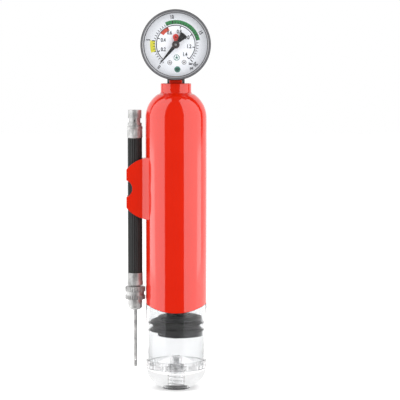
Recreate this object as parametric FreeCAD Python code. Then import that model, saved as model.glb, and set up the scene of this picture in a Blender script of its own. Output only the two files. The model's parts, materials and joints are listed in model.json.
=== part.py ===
"""Ball inflation pump: clear barrel, sliding red handle with a pressure gauge, stored hose and needle.

+Z is up and the pump stands on its clear end cap. The origin is the mouth of the outlet thread, on the
pump's axis, level with the foot ring. The gauge faces -Y and the hose is clipped on the -X side.
"""
import FreeCAD, Part

import math
import os

Vector = FreeCAD.Vector
Z_AXIS = Vector(0, 0, 1)
Y_AXIS = Vector(0, 1, 0)

# ---- fits -------------------------------------------------------------------------------------
RUNNING_FIT = 0.05          # radial clearance of small shafts and the rod in its gland
SLIDING_FIT = 0.10          # radial clearance of the handle over the barrel
THREAD_FIT = 0.05           # radial clearance between plain stand-ins of mating threads
BODY_GAP = 0.30             # gap between pieces that only pass each other
CUT = 1.0                   # how far a cutting shape runs past what it cuts

# ---- handle and barrel ------------------------------------------------------------------------
handle_r = 17.6             # outer radius of the red shell and of the flush clear parts
handle_wall = 1.1
barrel_wall = 1.2
seam_z = 16.9               # where the handle comes to rest on the end cap
barrel_top_z = 142.0
dome_z = 157.0              # where the straight handle ends and its dome begins
dome_r = 16.3
neck_r = 8.75
neck_fillet = 1.6
neck_top_z = 176.8
socket_wall = 2.6           # round the rod's socket inside the neck
socket_roof = 1.5           # between the socket and the stem's hole
socket_boss_length = 7.0
boss_cone = 1.6             # how far the boss widens into the dome
cone_drop = 2.0             # the bore narrows from this far below the dome
gland_headroom = 6.0
edge_side_z = 50.0          # red shell's lower edge at the sides
edge_front_z = 46.0         # and at the front and back, where it dips

# ---- end cap and outlet -----------------------------------------------------------------------
cap_corner_r = 12.3
plug_dome_r = 12.0          # foot of the cap's domed top, inside the barrel
plug_edge_z = 14.5
plug_top_z = 19.8
cap_socket_depth = 5.0      # how far the barrel tube sits down into the cap
foot_r = 8.3
foot_height = 0.4
outlet_thread_r = 3.85      # tyre valve thread, 7.7 mm
outlet_thread_length = 12.0
outlet_wall = 1.0
outlet_gasket_r = 6.35
outlet_gasket_low_z = 1.4
outlet_gasket_height = 2.9
outlet_gasket_fit = 0.05
valve_cavity_r = 2.9
poppet_r = 2.3
poppet_height = 1.4
poppet_stem_r = 0.8
poppet_stem_height = 1.2
stop_clearance = 0.9
stop_height = 0.6
valve_hole_r = 1.1
valve_seat_height = 2.0
valve_seat_sink = 0.3       # below the top of the cap's dome
valve_spring_wire_r = 0.2
valve_spring_turns = 4

# ---- piston and rod ---------------------------------------------------------------------------
rod_r = 5.45
rod_bore_r = 1.6
piston_bottom_z = 31.0
piston_flange_r = 12.9      # both flanges sit off-centre, out to the +X side of the barrel
lower_flange_height = 2.6
upper_flange_height = 2.0
piston_height = 11.0
piston_hub_r = 8.0
seal_clearance = 0.05
seal_lip_height = 2.3
seal_lip_lead = 0.5         # taper at the outer edges of the lips
seal_lip_back = 0.3         # taper towards the groove
seal_lip_share = 0.6        # share of a lip's height where it is widest
seal_groove_depth = 1.6
seal_groove_slope = 0.2
piston_screw_r = 3.0
piston_screw_head = 1.6
screw_head_step = 0.8
screw_in_rod = 5.0
gland_height = 8.0
gland_flange_height = 2.0
gland_vent_r = 1.2
gland_vent_count = 6
rod_socket_depth = 8.0
screw_slot_width = 0.8
screw_slot_depth = 0.7

# ---- hose clip --------------------------------------------------------------------------------
clip_z = 116.5
clip_disc_r = 17.9
clip_disc_offset = 14.25    # from the pump's axis to the middle of the round leaves
clip_reach = 28.4           # how far the leaves stand out from the pump's axis
clip_leaf = 1.8
clip_bend_reach = 2.1       # from the shell's side to where a leaf runs straight
clip_root_drop = 2.8        # from a leaf's outer face in to its root on the shell
clip_root_sink = 0.4
clip_bend_out = 0.15        # the bend's middle, away from the straight between its ends
clip_bend_in = 0.45
clip_notch_height = 9.6
clip_notch_reach = 25.0

# ---- hose, fittings, nut and needle -----------------------------------------------------------
hose_r = 4.15
hose_bore_r = 2.0
hose_low_z = 67.4
hose_high_z = 145.4
ferrule_wall = 0.35         # at the rolled shoulders and the flare
ferrule_thin_wall = 0.15
ferrule_sink = 7.0          # length inside each ferrule, with its roof
ferrule_roof = 1.0
ferrule_band = 1.6          # plain band at each end of the upper ferrule
ferrule_slope = 0.4
ferrule_waist_step = 0.2
flare_height = 1.8
flare_slope = 0.6
fitting_ring_r = 4.0
fitting_waist_r = 3.2
fitting_thread_r = 3.85
fitting_ring_height = 1.7
fitting_waist_height = 2.7
fitting_thread_height = 4.7
fitting_bore_r = 1.5
relief_hole_r = 0.45
lower_ferrule_low_z = 60.3
tail_r = 2.9                # lower ferrule's turned tail, which holds the nut
tail_collar_r = 3.6
tail_collar_height = 1.2
nut_r = 5.8
nut_waist_r = 5.15
nut_low_z = 51.9
nut_high_z = 59.5
nut_groove_low_z = 54.5
nut_groove_high_z = 56.4
nut_roof = 1.6
nut_gasket_height = 1.0
needle_head_r = 4.0
needle_head_low_z = 47.0
needle_head_height = 4.4
needle_thread_height = 3.2
needle_r = 1.0
needle_bore_r = 0.55
needle_tip_z = 12.3
needle_port_r = 0.4
needle_port_height = 4.0    # above the tip
needle_tip_wall = 2.0
needle_shoulder_height = 0.9
needle_shoulder_r = 2.8
needle_head_edge = 0.3

# ---- gauge ------------------------------------------------------------------------------------
gauge_lift = 2.0            # gap between the neck and the bezel, filled by the collar
bezel_r = 20.0
bezel_lip = 1.7
bezel_height = 4.0
bezel_face = 0.9            # thickness of the rim in front of the lens
gauge_front_y = -12.0
gauge_back_y = 12.0
bezel_wall = 0.8
case_wall = 0.9
lens_thickness = 1.4
dial_y = -5.6               # front face of the dial
dial_thickness = 0.6
dial_gap = 0.3              # between the dial's edge and the inside of the case
collar_r = 5.0
tongue_half = 3.6           # half width of the neck's tongue in front of the collar
tongue_depth = 1.5
tongue_sink = 0.5
stem_r = 3.9
stem_low_z = 167.0
stem_bore_r = 1.2
block_width = 8.0
block_depth = 4.8
block_top = -11.0           # from the gauge's centre
block_lift = 0.6            # above the bottom of the case
stem_in_block = 2.0
stem_bore_roof = 2.0

# ---- gauge movement ---------------------------------------------------------------------------
gear_module = 0.2
pinion_teeth = 12
sector_full_teeth = 96
sector_cut_teeth = 11       # teeth that the sector really has
sector_spare_teeth = 1      # teeth past the one in mesh when the gauge reads zero
tooth_share = 0.38          # tooth thickness as a share of the pitch
arbor_r = 0.6
arbor_angle = -35.0         # direction from the gauge's centre to the sector's arbor
gear_thickness = 1.0
plate_thickness = 0.8
plate_margin = 2.4
movement_screw_r = 0.5
bourdon_r = 14.9
bourdon_thickness = 1.4
bourdon_width = 5.0
bourdon_end_angle = 18.0
tail_length = 4.0
link_width = 1.2
link_thickness = 0.5
link_gap = 0.2
link_pin_r = 0.4
tip_eye_r = 1.3
pointer_length = 14.3
pointer_base = 2.4
pointer_tip = 0.35
pointer_thickness = 0.4
pointer_y = -7.8            # front face of the pointer
pointer_zero_angle = 230.0
weight_r = 7.8
weight_half_angle = 18.0
hub_r = 2.2
hub_height = 0.9
marker_y = -6.9
marker_thickness = 0.4
marker_head_r = 1.7
marker_reach = 4.4
hairspring_turns = 4
hairspring_thickness = 0.12
hairspring_pitch = 0.55
hairspring_height = 0.5
hairspring_gap = 0.15
bourdon_wall_gap = 0.2      # the tube is this much narrower than its slot, on each side
bourdon_lift = 3.0          # its fixed end starts this far up inside the block
tip_half_width = 1.6
tip_turn = 5.0              # degrees from the tube's end to the link's pin
tip_shoe = 0.9
tip_shoe_turn = 4.0
tooth_addendum = 0.85       # as shares of the gear module
tooth_dedendum = 1.15
root_share = 0.68           # tooth width at the root and the tip, as shares of its thickness
tip_share = 0.32
sector_boss = 1.0           # boss and spoke widths beyond the arbor
sector_spoke = 0.6
sector_spread = 60.0        # degrees from the end teeth to the spokes' feet
window_low_r = 3.4
window_high_r = 7.0
window_low_turn = 6.0       # half angles of the sector's window
window_high_turn = 12.0
tail_half_width = 0.9
link_eye = 0.2
plate_step = 1.0
plate_shoulder = 4.0
plate_foot = 4.5
plate_heel = 2.0
screw_drop = 2.2
screw_head_r = 0.9
screw_head_height = 0.7
post_lift = 0.6
post_r = 0.9
arbor_end = 0.4             # how far the arbor reaches into the pointer's cap
dial_hole_gap = 0.6
marker_ring = 0.9
marker_hole_gap = 0.3
marker_foot_r = 0.4
marker_stem_half = 0.8
marker_head_share = 0.8

# ---- sizes worked out from the ones above -----------------------------------------------------
handle_bore_r = handle_r - handle_wall
barrel_r = handle_bore_r - SLIDING_FIT
chamber_r = barrel_r - barrel_wall
piston_flange_offset = chamber_r - seal_clearance - piston_flange_r
piston_top_z = piston_bottom_z + piston_height
gland_low_z = barrel_top_z - gland_height + gland_flange_height
stroke = gland_low_z - piston_top_z
cap_corner_centre_r = handle_r - cap_corner_r
cap_corner_centre_z = foot_height + cap_corner_r
barrel_low_z = seam_z - cap_socket_depth
rod_boss_r = rod_r + socket_wall
socket_top_z = stem_low_z - socket_roof
socket_low_z = socket_top_z - rod_socket_depth
hose_x = -(handle_r + nut_r + BODY_GAP)
clip_slot_half = hose_r + BODY_GAP
ferrule_r = hose_r + ferrule_wall
lower_ferrule_r = hose_r + ferrule_thin_wall
gauge_z = neck_top_z + gauge_lift + bezel_r
case_r = bezel_r - bezel_wall
dial_r = case_r - case_wall - dial_gap
gauge_centre = Vector(0, 0, gauge_z)
pinion_r = gear_module * pinion_teeth / 2
sector_r = gear_module * sector_full_teeth / 2
arbor_distance = pinion_r + sector_r
sector_pitch_deg = 360 / sector_full_teeth
plate_half_gap = block_depth / 2


# ---- building blocks --------------------------------------------------------------------------
def turned(points, centre=Vector(0, 0, 0), axis=Z_AXIS):
    """Revolve a closed (radius, height) outline; a middle item ("arc", r, z) makes the next edge an arc."""
    edges = []
    corners = [p for p in points if p[0] != "arc"]
    through = {}
    count = 0
    for item in points:
        if item[0] == "arc":
            through[count - 1] = item[1:]
        else:
            count += 1
    for index, (r, z) in enumerate(corners):
        start = Vector(r, 0, z)
        end = Vector(corners[(index + 1) % count][0], 0, corners[(index + 1) % count][1])
        if index in through:
            middle = Vector(through[index][0], 0, through[index][1])
            edges.append(Part.Arc(start, middle, end).toShape())
        else:
            edges.append(Part.LineSegment(start, end).toShape())
    face = Part.Face(Part.Wire(edges))
    solid = face.revolve(Vector(0, 0, 0), Z_AXIS, 360)
    if axis == Y_AXIS:
        solid.rotate(Vector(0, 0, 0), Vector(1, 0, 0), -90)
    solid.translate(centre)
    return solid


def rod(radius, low, high, centre=Vector(0, 0, 0), axis=Z_AXIS):
    """A cylinder from low to high along an axis through centre."""
    return Part.makeCylinder(radius, high - low, centre + axis * low, axis)


def ring(outer, inner, low, high, centre=Vector(0, 0, 0), axis=Z_AXIS):
    return rod(outer, low, high, centre, axis).cut(rod(inner, low, high, centre, axis))


def box_between(low, high):
    size = high - low
    return Part.makeBox(size.x, size.y, size.z, low)


def polar(radius, angle, y=0.0):
    """A point of the gauge, by its distance from the gauge's centre and its angle seen from the front."""
    turn = math.radians(angle)
    return Vector(radius * math.cos(turn), y, gauge_z + radius * math.sin(turn))


def plate_from(points, front_y, thickness):
    """A flat plate whose outline is points in the gauge's plane."""
    corners = [Vector(p.x, front_y, p.z) for p in points]
    face = Part.Face(Part.makePolygon(corners + corners[:1]))
    return face.extrude(Vector(0, thickness, 0))


def arc_middle(centre_r, centre_z, radius, angle):
    turn = math.radians(angle)
    return ("arc", centre_r + radius * math.cos(turn), centre_z + radius * math.sin(turn))


# ---- handle -----------------------------------------------------------------------------------
def edge_cutter():
    """Everything above the scalloped edge between the red shell and the clear window."""
    wide = handle_r + CUT
    rise = (edge_side_z - edge_front_z) * (wide / handle_r) ** 2
    left = Vector(-wide, -wide, edge_front_z + rise)
    right = Vector(wide, -wide, edge_front_z + rise)
    middle = Vector(0, -wide, edge_front_z)
    top_right = Vector(wide, -wide, neck_top_z + CUT)
    top_left = Vector(-wide, -wide, neck_top_z + CUT)
    edges = [Part.Arc(left, middle, right).toShape()]
    edges.append(Part.LineSegment(right, top_right).toShape())
    edges.append(Part.LineSegment(top_right, top_left).toShape())
    edges.append(Part.LineSegment(top_left, left).toShape())
    return Part.Face(Part.Wire(edges)).extrude(Vector(0, 2 * wide, 0))


def handle_outside():
    """The handle's filled outline, from its lower edge to the top of its neck."""
    centre_r = handle_r - dome_r
    neck_z = dome_z + math.sqrt(dome_r ** 2 - (neck_r + neck_fillet - centre_r) ** 2)
    half_angle = math.degrees(math.asin((neck_z - dome_z) / dome_r)) / 2
    sweep = neck_fillet * (1 - math.sqrt(0.5))
    return turned([
        (0, seam_z),
        (handle_r, seam_z),
        (handle_r, dome_z),
        arc_middle(centre_r, dome_z, dome_r, half_angle),
        (neck_r + neck_fillet, neck_z),
        ("arc", neck_r + sweep, neck_z + sweep),
        (neck_r, neck_z + neck_fillet),
        (neck_r, neck_top_z),
        (0, neck_top_z),
    ])


def handle_inside():
    """The space in the handle for the barrel, the rod and the gauge's stem."""
    boss_top_z = socket_low_z + socket_boss_length
    cone_low_z = max(barrel_top_z + gland_flange_height + gland_headroom, dome_z - cone_drop)
    space = turned([
        (0, seam_z),
        (handle_bore_r, seam_z),
        (handle_bore_r, cone_low_z),
        (rod_boss_r + boss_cone, boss_top_z),
        (rod_boss_r, boss_top_z),
        (rod_boss_r, socket_low_z),
        (0, socket_low_z),
    ])
    space = space.fuse(rod(rod_r, socket_low_z - CUT, socket_top_z))
    space = space.fuse(rod(stem_bore_r, socket_top_z - CUT, stem_low_z + CUT))
    return space.fuse(rod(stem_r, stem_low_z, neck_top_z + CUT))


def collar_tongue():
    """Tongue on top of the neck that covers the front of the gauge's collar."""
    back_y = -(collar_r + SLIDING_FIT)
    low = Vector(-tongue_half, back_y - tongue_depth, neck_top_z - tongue_sink)
    high = Vector(tongue_half, back_y, neck_top_z + gauge_lift - SLIDING_FIT)
    return box_between(low, high)


def handle_shell():
    shell = handle_outside().cut(handle_inside()).common(edge_cutter())
    return shell.fuse(collar_tongue()).removeSplitter()


def window_sleeve():
    tube = ring(handle_r, handle_bore_r, seam_z, edge_side_z + CUT)
    return tube.cut(edge_cutter())


def clip_leaf_plan():
    """Plan outline of the front leaf: from the shell, round a soft bend, and straight out past the hose."""
    inner_y = -clip_slot_half
    outer_y = inner_y - clip_leaf
    root_y = outer_y - clip_root_drop
    root = Vector(clip_root_sink - math.sqrt(handle_r ** 2 - root_y ** 2), root_y, 0)
    bend = Vector(-(handle_r + clip_bend_reach), outer_y, 0)
    middle = (root + bend) / 2 + Vector(-clip_bend_out, clip_bend_in, 0)
    end_outer = Vector(-clip_reach, outer_y, 0)
    end_inner = Vector(-clip_reach, inner_y, 0)
    back = Vector(-handle_bore_r, inner_y, 0)
    edges = [Part.Arc(root, middle, bend).toShape()]
    for start, end in ((bend, end_outer), (end_outer, end_inner), (end_inner, back), (back, root)):
        edges.append(Part.LineSegment(start, end).toShape())
    return Part.Face(Part.Wire(edges))


def hose_clip():
    """Two round leaves that hold the hose between them, on a saddle that follows the shell."""
    low_z = clip_z - clip_disc_r
    front = clip_leaf_plan().extrude(Vector(0, 0, 2 * clip_disc_r))
    front.translate(Vector(0, 0, low_z))
    rear = front.mirror(Vector(0, 0, 0), Y_AXIS)
    saddle_x = hose_x + hose_r + BODY_GAP
    saddle_low = Vector(saddle_x, -clip_slot_half - clip_leaf / 2, low_z)
    saddle_high = Vector(-handle_bore_r, clip_slot_half + clip_leaf / 2, low_z + 2 * clip_disc_r)
    body = front.fuse([rear, box_between(saddle_low, saddle_high)])
    disc_centre = Vector(-clip_disc_offset, 0, clip_z)
    body = body.common(rod(clip_disc_r, -handle_r, handle_r, disc_centre, Y_AXIS))
    depth = clip_reach - clip_notch_reach
    notch_r = (depth ** 2 + (clip_notch_height / 2) ** 2) / (2 * depth)
    notch_centre = Vector(-(clip_notch_reach + notch_r), 0, clip_z)
    body = body.cut(rod(notch_r, -handle_r, handle_r, notch_centre, Y_AXIS))
    return body.cut(rod(handle_r, low_z - CUT, low_z + 2 * clip_disc_r + CUT)).removeSplitter()


# ---- piston -----------------------------------------------------------------------------------
def piston_rod():
    low_z = piston_bottom_z + lower_flange_height
    return ring(rod_r, rod_bore_r, low_z, socket_top_z)


def seal_span():
    low_z = piston_bottom_z + lower_flange_height
    return low_z, piston_top_z - upper_flange_height


def piston_core():
    """Core pressed on the rod, with the seal between its two off-centre flanges."""
    seal_low_z, seal_high_z = seal_span()
    flange_centre = Vector(piston_flange_offset, 0, 0)
    lower = rod(piston_flange_r, piston_bottom_z, seal_low_z, flange_centre)
    upper = rod(piston_flange_r, seal_high_z, piston_top_z, flange_centre)
    body = lower.fuse([upper, rod(piston_hub_r, piston_bottom_z, piston_top_z)])
    body = body.cut(rod(rod_r, seal_low_z, piston_top_z + CUT))
    shank_r = piston_screw_r - screw_head_step
    return body.cut(rod(shank_r, piston_bottom_z - CUT, seal_low_z + CUT)).removeSplitter()


def piston_seal():
    """Rubber ring with two lips and a groove between them."""
    low_z, high_z = seal_span()
    outer = chamber_r - seal_clearance
    root_r = outer - seal_groove_depth
    groove_low_z = low_z + seal_lip_height
    groove_high_z = high_z - seal_lip_height
    return turned([
        (piston_hub_r, low_z),
        (outer - seal_lip_lead, low_z),
        (outer, low_z + seal_lip_height * seal_lip_share),
        (outer - seal_lip_back, groove_low_z),
        (root_r, groove_low_z + seal_groove_slope),
        (root_r, groove_high_z - seal_groove_slope),
        (outer - seal_lip_back, groove_high_z),
        (outer, high_z - seal_lip_height * seal_lip_share),
        (outer - seal_lip_lead, high_z),
        (piston_hub_r, high_z),
    ])


def piston_screw():
    """Hollow screw that holds the piston on the rod and lets the pressure up to the gauge."""
    head_low_z = piston_bottom_z - piston_screw_head
    shank_r = piston_screw_r - screw_head_step
    shank_top_z = piston_bottom_z + lower_flange_height
    screw = rod(piston_screw_r, head_low_z, piston_bottom_z)
    screw = screw.fuse(rod(shank_r, piston_bottom_z, shank_top_z))
    screw = screw.fuse(rod(rod_bore_r, piston_bottom_z, shank_top_z + screw_in_rod))
    slot_low = Vector(-piston_screw_r, -screw_slot_width / 2, head_low_z)
    slot_high = Vector(piston_screw_r, screw_slot_width / 2, head_low_z + screw_slot_depth)
    slot = box_between(slot_low, slot_high)
    bore = rod(rod_bore_r / 2, head_low_z, shank_top_z + screw_in_rod)
    return screw.cut(slot).cut(bore).removeSplitter()


# ---- barrel -----------------------------------------------------------------------------------
def barrel_tube():
    return ring(barrel_r, chamber_r, barrel_low_z, barrel_top_z)


def rod_gland():
    """Closes the barrel's top, guides the rod and lets the air above the piston in and out."""
    top_z = barrel_top_z + gland_flange_height
    body = rod(chamber_r, gland_low_z, barrel_top_z)
    body = body.fuse(rod(barrel_r, barrel_top_z, top_z))
    body = body.cut(rod(rod_r + RUNNING_FIT, gland_low_z - CUT, top_z + CUT))
    vent_circle_r = (rod_r + chamber_r) / 2
    for index in range(gland_vent_count):
        turn = 2 * math.pi * index / gland_vent_count
        place = Vector(vent_circle_r * math.cos(turn), vent_circle_r * math.sin(turn), 0)
        body = body.cut(rod(gland_vent_r, gland_low_z - CUT, top_z + CUT, place))
    return body.removeSplitter()


def valve_heights():
    """Heights of the check valve above the outlet thread: its bottom, the seat's underside and its top."""
    seat_top = plug_top_z - valve_seat_sink
    return outlet_thread_length, seat_top - valve_seat_height, seat_top


def end_cap():
    """Solid clear cap: a skirt round the barrel, a domed plug inside it, and the outlet up its middle."""
    valve_low, _, _ = valve_heights()
    thread_r = outlet_thread_r + THREAD_FIT
    outlet_boss_r = thread_r + outlet_wall
    outside = turned([
        (0, foot_height),
        (cap_corner_centre_r, foot_height),
        arc_middle(cap_corner_centre_r, cap_corner_centre_z, cap_corner_r, -45),
        (handle_r, cap_corner_centre_z),
        (handle_r, seam_z),
        (0, seam_z),
    ])
    rise = plug_top_z - plug_edge_z
    dome_centre_z = plug_top_z - (plug_dome_r ** 2 + rise ** 2) / (2 * rise)
    sphere_r = plug_top_z - dome_centre_z
    half_angle = math.degrees(math.asin(plug_dome_r / sphere_r)) / 2
    dome = turned([
        (0, plug_edge_z - CUT),
        (plug_dome_r, plug_edge_z - CUT),
        (plug_dome_r, plug_edge_z),
        arc_middle(0, dome_centre_z, sphere_r, 90 - half_angle),
        (0, plug_top_z),
    ])
    groove_r = outlet_gasket_r + outlet_gasket_fit
    foot = ring(foot_r, groove_r, 0, foot_height + CUT)
    body = outside.fuse(foot).cut(rod(chamber_r, plug_edge_z, seam_z + CUT))
    body = body.cut(ring(barrel_r, chamber_r, barrel_low_z, seam_z + CUT))
    body = body.fuse([dome, rod(outlet_boss_r, 0, foot_height + CUT)])
    gasket_top_z = outlet_gasket_low_z + outlet_gasket_height
    body = body.cut(ring(groove_r, outlet_boss_r, -CUT, gasket_top_z))
    body = body.cut(rod(thread_r, -CUT, valve_low))
    return body.cut(rod(valve_cavity_r, valve_low - CUT, plug_top_z + CUT)).removeSplitter()


def outlet_gasket():
    inner = outlet_thread_r + THREAD_FIT + outlet_wall
    return ring(outlet_gasket_r, inner, outlet_gasket_low_z, outlet_gasket_low_z + outlet_gasket_height)


def valve_seat():
    """Plug pressed into the top of the outlet: the poppet closes the hole through it from below."""
    _, seat_low, seat_top = valve_heights()
    return ring(valve_cavity_r, valve_hole_r, seat_low, seat_top)


def spring_stop():
    """Thin ring at the bottom of the valve's room, which carries the spring."""
    valve_low, _, _ = valve_heights()
    return ring(valve_cavity_r, poppet_stem_r + stop_clearance, valve_low, valve_low + stop_height)


def valve_poppet():
    _, seat_low, _ = valve_heights()
    head_low = seat_low - poppet_height
    return rod(poppet_r, head_low, seat_low).fuse(rod(poppet_stem_r, head_low - poppet_stem_height, head_low))


def valve_spring():
    """Coil spring between the stop ring and the poppet, clear of both by a hair."""
    valve_low, seat_low, _ = valve_heights()
    end_gap = valve_spring_wire_r + RUNNING_FIT / 2
    low = valve_low + stop_height + end_gap
    high = seat_low - poppet_height - end_gap
    coil_r = (poppet_stem_r + poppet_r) / 2
    helix = Part.makeLongHelix((high - low) / valve_spring_turns, high - low, coil_r)
    section = Part.Wire(Part.makeCircle(valve_spring_wire_r, Vector(coil_r, 0, 0), Y_AXIS))
    coil = Part.Wire(helix.Edges).makePipeShell([section], True, True)
    coil.translate(Vector(0, 0, low))
    return coil


# ---- hose, its fittings, the nut and the needle -----------------------------------------------
hose_axis = Vector(hose_x, 0, 0)


def hose():
    sink = ferrule_sink - ferrule_roof
    return ring(hose_r, hose_bore_r, hose_low_z - sink, hose_high_z + sink, hose_axis)


def upper_ferrule():
    """Crimped shell round the hose's top end, with a rolled shoulder at its mouth."""
    high_z = hose_high_z + ferrule_sink
    waist_r = ferrule_r - ferrule_waist_step
    return turned([
        (hose_r, hose_high_z),
        (ferrule_r, hose_high_z),
        (ferrule_r, hose_high_z + ferrule_band),
        (waist_r, hose_high_z + ferrule_band + ferrule_slope),
        (waist_r, high_z - ferrule_band - ferrule_slope),
        (ferrule_r, high_z - ferrule_band),
        (ferrule_r, high_z - ferrule_slope),
        (ferrule_r - ferrule_slope, high_z),
        (fitting_bore_r, high_z),
        (fitting_bore_r, high_z - ferrule_roof),
        (hose_r, high_z - ferrule_roof),
    ], hose_axis)


def outlet_fitting():
    """Turned end that screws into the pump's outlet, with a small relief hole in its waist."""
    low_z = hose_high_z + ferrule_sink
    waist_z = low_z + fitting_ring_height
    thread_z = waist_z + fitting_waist_height
    high_z = thread_z + fitting_thread_height
    body = rod(fitting_ring_r, low_z, waist_z, hose_axis)
    body = body.fuse(rod(fitting_waist_r, waist_z, thread_z, hose_axis))
    body = body.fuse(rod(fitting_thread_r, thread_z, high_z, hose_axis))
    body = body.cut(rod(fitting_bore_r, low_z - CUT, high_z + CUT, hose_axis))
    relief_z = (waist_z + thread_z) / 2
    relief = rod(relief_hole_r, -fitting_waist_r - CUT, 0, Vector(hose_x, 0, relief_z), Y_AXIS)
    return body.cut(relief).removeSplitter()


def lower_ferrule():
    """Crimped shell on the hose's lower end, with a turned tail whose collar holds the nut."""
    tail_low_z = nut_high_z - nut_roof - BODY_GAP - tail_collar_height
    roof_z = hose_low_z - ferrule_sink + ferrule_roof
    flare_z = lower_ferrule_low_z + flare_height
    return turned([
        (hose_r, hose_low_z),
        (lower_ferrule_r, hose_low_z),
        (lower_ferrule_r, flare_z + flare_slope),
        (ferrule_r, flare_z),
        (ferrule_r, lower_ferrule_low_z),
        (tail_r, lower_ferrule_low_z),
        (tail_r, tail_low_z + tail_collar_height),
        (tail_collar_r, tail_low_z + tail_collar_height),
        (tail_collar_r, tail_low_z),
        (fitting_bore_r, tail_low_z),
        (fitting_bore_r, roof_z),
        (hose_r, roof_z),
    ], hose_axis)


def hose_nut():
    """Nut that turns on the tail: two gripping rings with a groove between them, open at the bottom."""
    return turned([
        (tail_r + RUNNING_FIT, nut_high_z),
        (nut_r, nut_high_z),
        (nut_r, nut_groove_high_z),
        (nut_waist_r, nut_groove_high_z),
        (nut_waist_r, nut_groove_low_z),
        (nut_r, nut_groove_low_z),
        (nut_r, nut_low_z),
        (needle_head_r + THREAD_FIT, nut_low_z),
        (needle_head_r + THREAD_FIT, nut_high_z - nut_roof),
        (tail_r + RUNNING_FIT, nut_high_z - nut_roof),
    ], hose_axis)


def nut_gasket():
    high_z = nut_high_z - nut_roof - BODY_GAP - tail_collar_height
    return ring(tail_collar_r, fitting_bore_r, high_z - nut_gasket_height, high_z, hose_axis)


def needle():
    """Inflating needle: threaded head in the nut, a thin tube, and a round tip with two side ports."""
    top_z = needle_head_low_z + needle_head_height + needle_thread_height
    shoulder_z = needle_head_low_z - needle_shoulder_height
    eighth = math.pi / 4
    body = turned([
        (0, needle_tip_z),
        ("arc", needle_r * math.sin(eighth), needle_tip_z + needle_r * (1 - math.cos(eighth))),
        (needle_r, needle_tip_z + needle_r),
        (needle_r, shoulder_z),
        (needle_shoulder_r, shoulder_z),
        (needle_head_r, needle_head_low_z + needle_head_edge),
        (needle_head_r, top_z),
        (0, top_z),
    ], hose_axis)
    bore = rod(needle_bore_r, needle_tip_z + needle_tip_wall, top_z + CUT, hose_axis)
    port_centre = Vector(hose_x, 0, needle_tip_z + needle_port_height)
    port = rod(needle_port_r, -needle_r - CUT, needle_r + CUT, port_centre, Y_AXIS)
    return body.cut(bore).cut(port).removeSplitter()


# ---- gauge housing ----------------------------------------------------------------------------
def gauge_collar():
    """Black ring between the neck and the gauge, hollowed to the round of the case."""
    top_z = gauge_z - math.sqrt(case_r ** 2 - collar_r ** 2)
    body = ring(collar_r, stem_r, neck_top_z, top_z)
    return body.cut(rod(case_r, gauge_front_y, gauge_back_y, gauge_centre, Y_AXIS))


def gauge_case():
    """Round steel pot, open at the front, with a hole in its wall for the stem."""
    front_y = gauge_front_y + bezel_height
    inner_r = case_r - case_wall
    body = rod(case_r, front_y, gauge_back_y, gauge_centre, Y_AXIS)
    body = body.cut(rod(inner_r, front_y - CUT, gauge_back_y - case_wall, gauge_centre, Y_AXIS))
    return body.cut(rod(stem_r, gauge_z - case_r - CUT, gauge_z))


def gauge_bezel():
    """Rolled rim that holds the lens in front of the case."""
    inner_r = bezel_r - bezel_lip
    corner = math.pi / 4
    corner_y = gauge_front_y + bezel_wall * (1 - math.cos(corner))
    return turned([
        (inner_r, gauge_front_y),
        (case_r, gauge_front_y),
        ("arc", case_r + bezel_wall * math.sin(corner), corner_y),
        (bezel_r, gauge_front_y + bezel_wall),
        (bezel_r, gauge_front_y + bezel_height),
        (case_r - case_wall, gauge_front_y + bezel_height),
        (case_r - case_wall, gauge_front_y + bezel_face + lens_thickness),
        (case_r, gauge_front_y + bezel_face + lens_thickness),
        (case_r, gauge_front_y + bezel_face),
        (inner_r, gauge_front_y + bezel_face),
    ], gauge_centre, Y_AXIS)


def gauge_lens():
    low_y = gauge_front_y + bezel_face
    return rod(case_r, low_y, low_y + lens_thickness, gauge_centre, Y_AXIS)


def dial_plate():
    return ring(dial_r, arbor_r + dial_hole_gap, dial_y, dial_y + dial_thickness, gauge_centre, Y_AXIS)


def set_marker():
    """Small red hand on the dial: a ring round the arbor, a stem and a round head."""
    ring_r = arbor_r + marker_ring
    top = polar(marker_reach, 90)
    side = Vector(marker_head_r * marker_head_share, 0, 0)
    back_y = marker_y + marker_thickness
    head = rod(marker_head_r, marker_y, back_y, top, Y_AXIS)
    hub = rod(ring_r, marker_y, back_y, gauge_centre, Y_AXIS)
    outline = [top - side, top + side, polar(marker_stem_half, 0), polar(marker_stem_half, 180)]
    stem = plate_from(outline, marker_y, marker_thickness)
    foot = rod(marker_foot_r, back_y, dial_y, top, Y_AXIS)
    hole = rod(arbor_r + marker_hole_gap, marker_y - CUT, dial_y + CUT, gauge_centre, Y_AXIS)
    return head.fuse([hub, stem, foot]).cut(hole).removeSplitter()


def gauge_stem():
    """Brass stem screwed into the neck, with the square block that carries the movement."""
    case_floor_z = gauge_z - case_r + case_wall
    block_low = Vector(-block_width / 2, -plate_half_gap, case_floor_z + block_lift)
    block_high = Vector(block_width / 2, plate_half_gap, gauge_z + block_top)
    body = rod(stem_r, stem_low_z, case_floor_z + stem_in_block)
    body = body.fuse(box_between(block_low, block_high))
    bore = rod(stem_bore_r / 2, stem_low_z - CUT, gauge_z + block_top - stem_bore_roof)
    for place in screw_places():
        body = body.cut(rod(movement_screw_r, -block_depth, block_depth, place, Y_AXIS))
    return body.cut(bore).cut(bourdon_room()).removeSplitter()


def bourdon_room():
    """The slot in the block where the end of the pressure tube is brazed in."""
    outer = bourdon_r + bourdon_thickness / 2
    inner = bourdon_r - bourdon_thickness / 2
    slot = ring(outer, inner, -block_depth, block_depth, gauge_centre, Y_AXIS)
    half = Vector(-block_width / 2 - CUT, -block_depth, gauge_z - case_r)
    return slot.common(box_between(half, Vector(block_width / 4, block_depth, gauge_z)))


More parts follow.
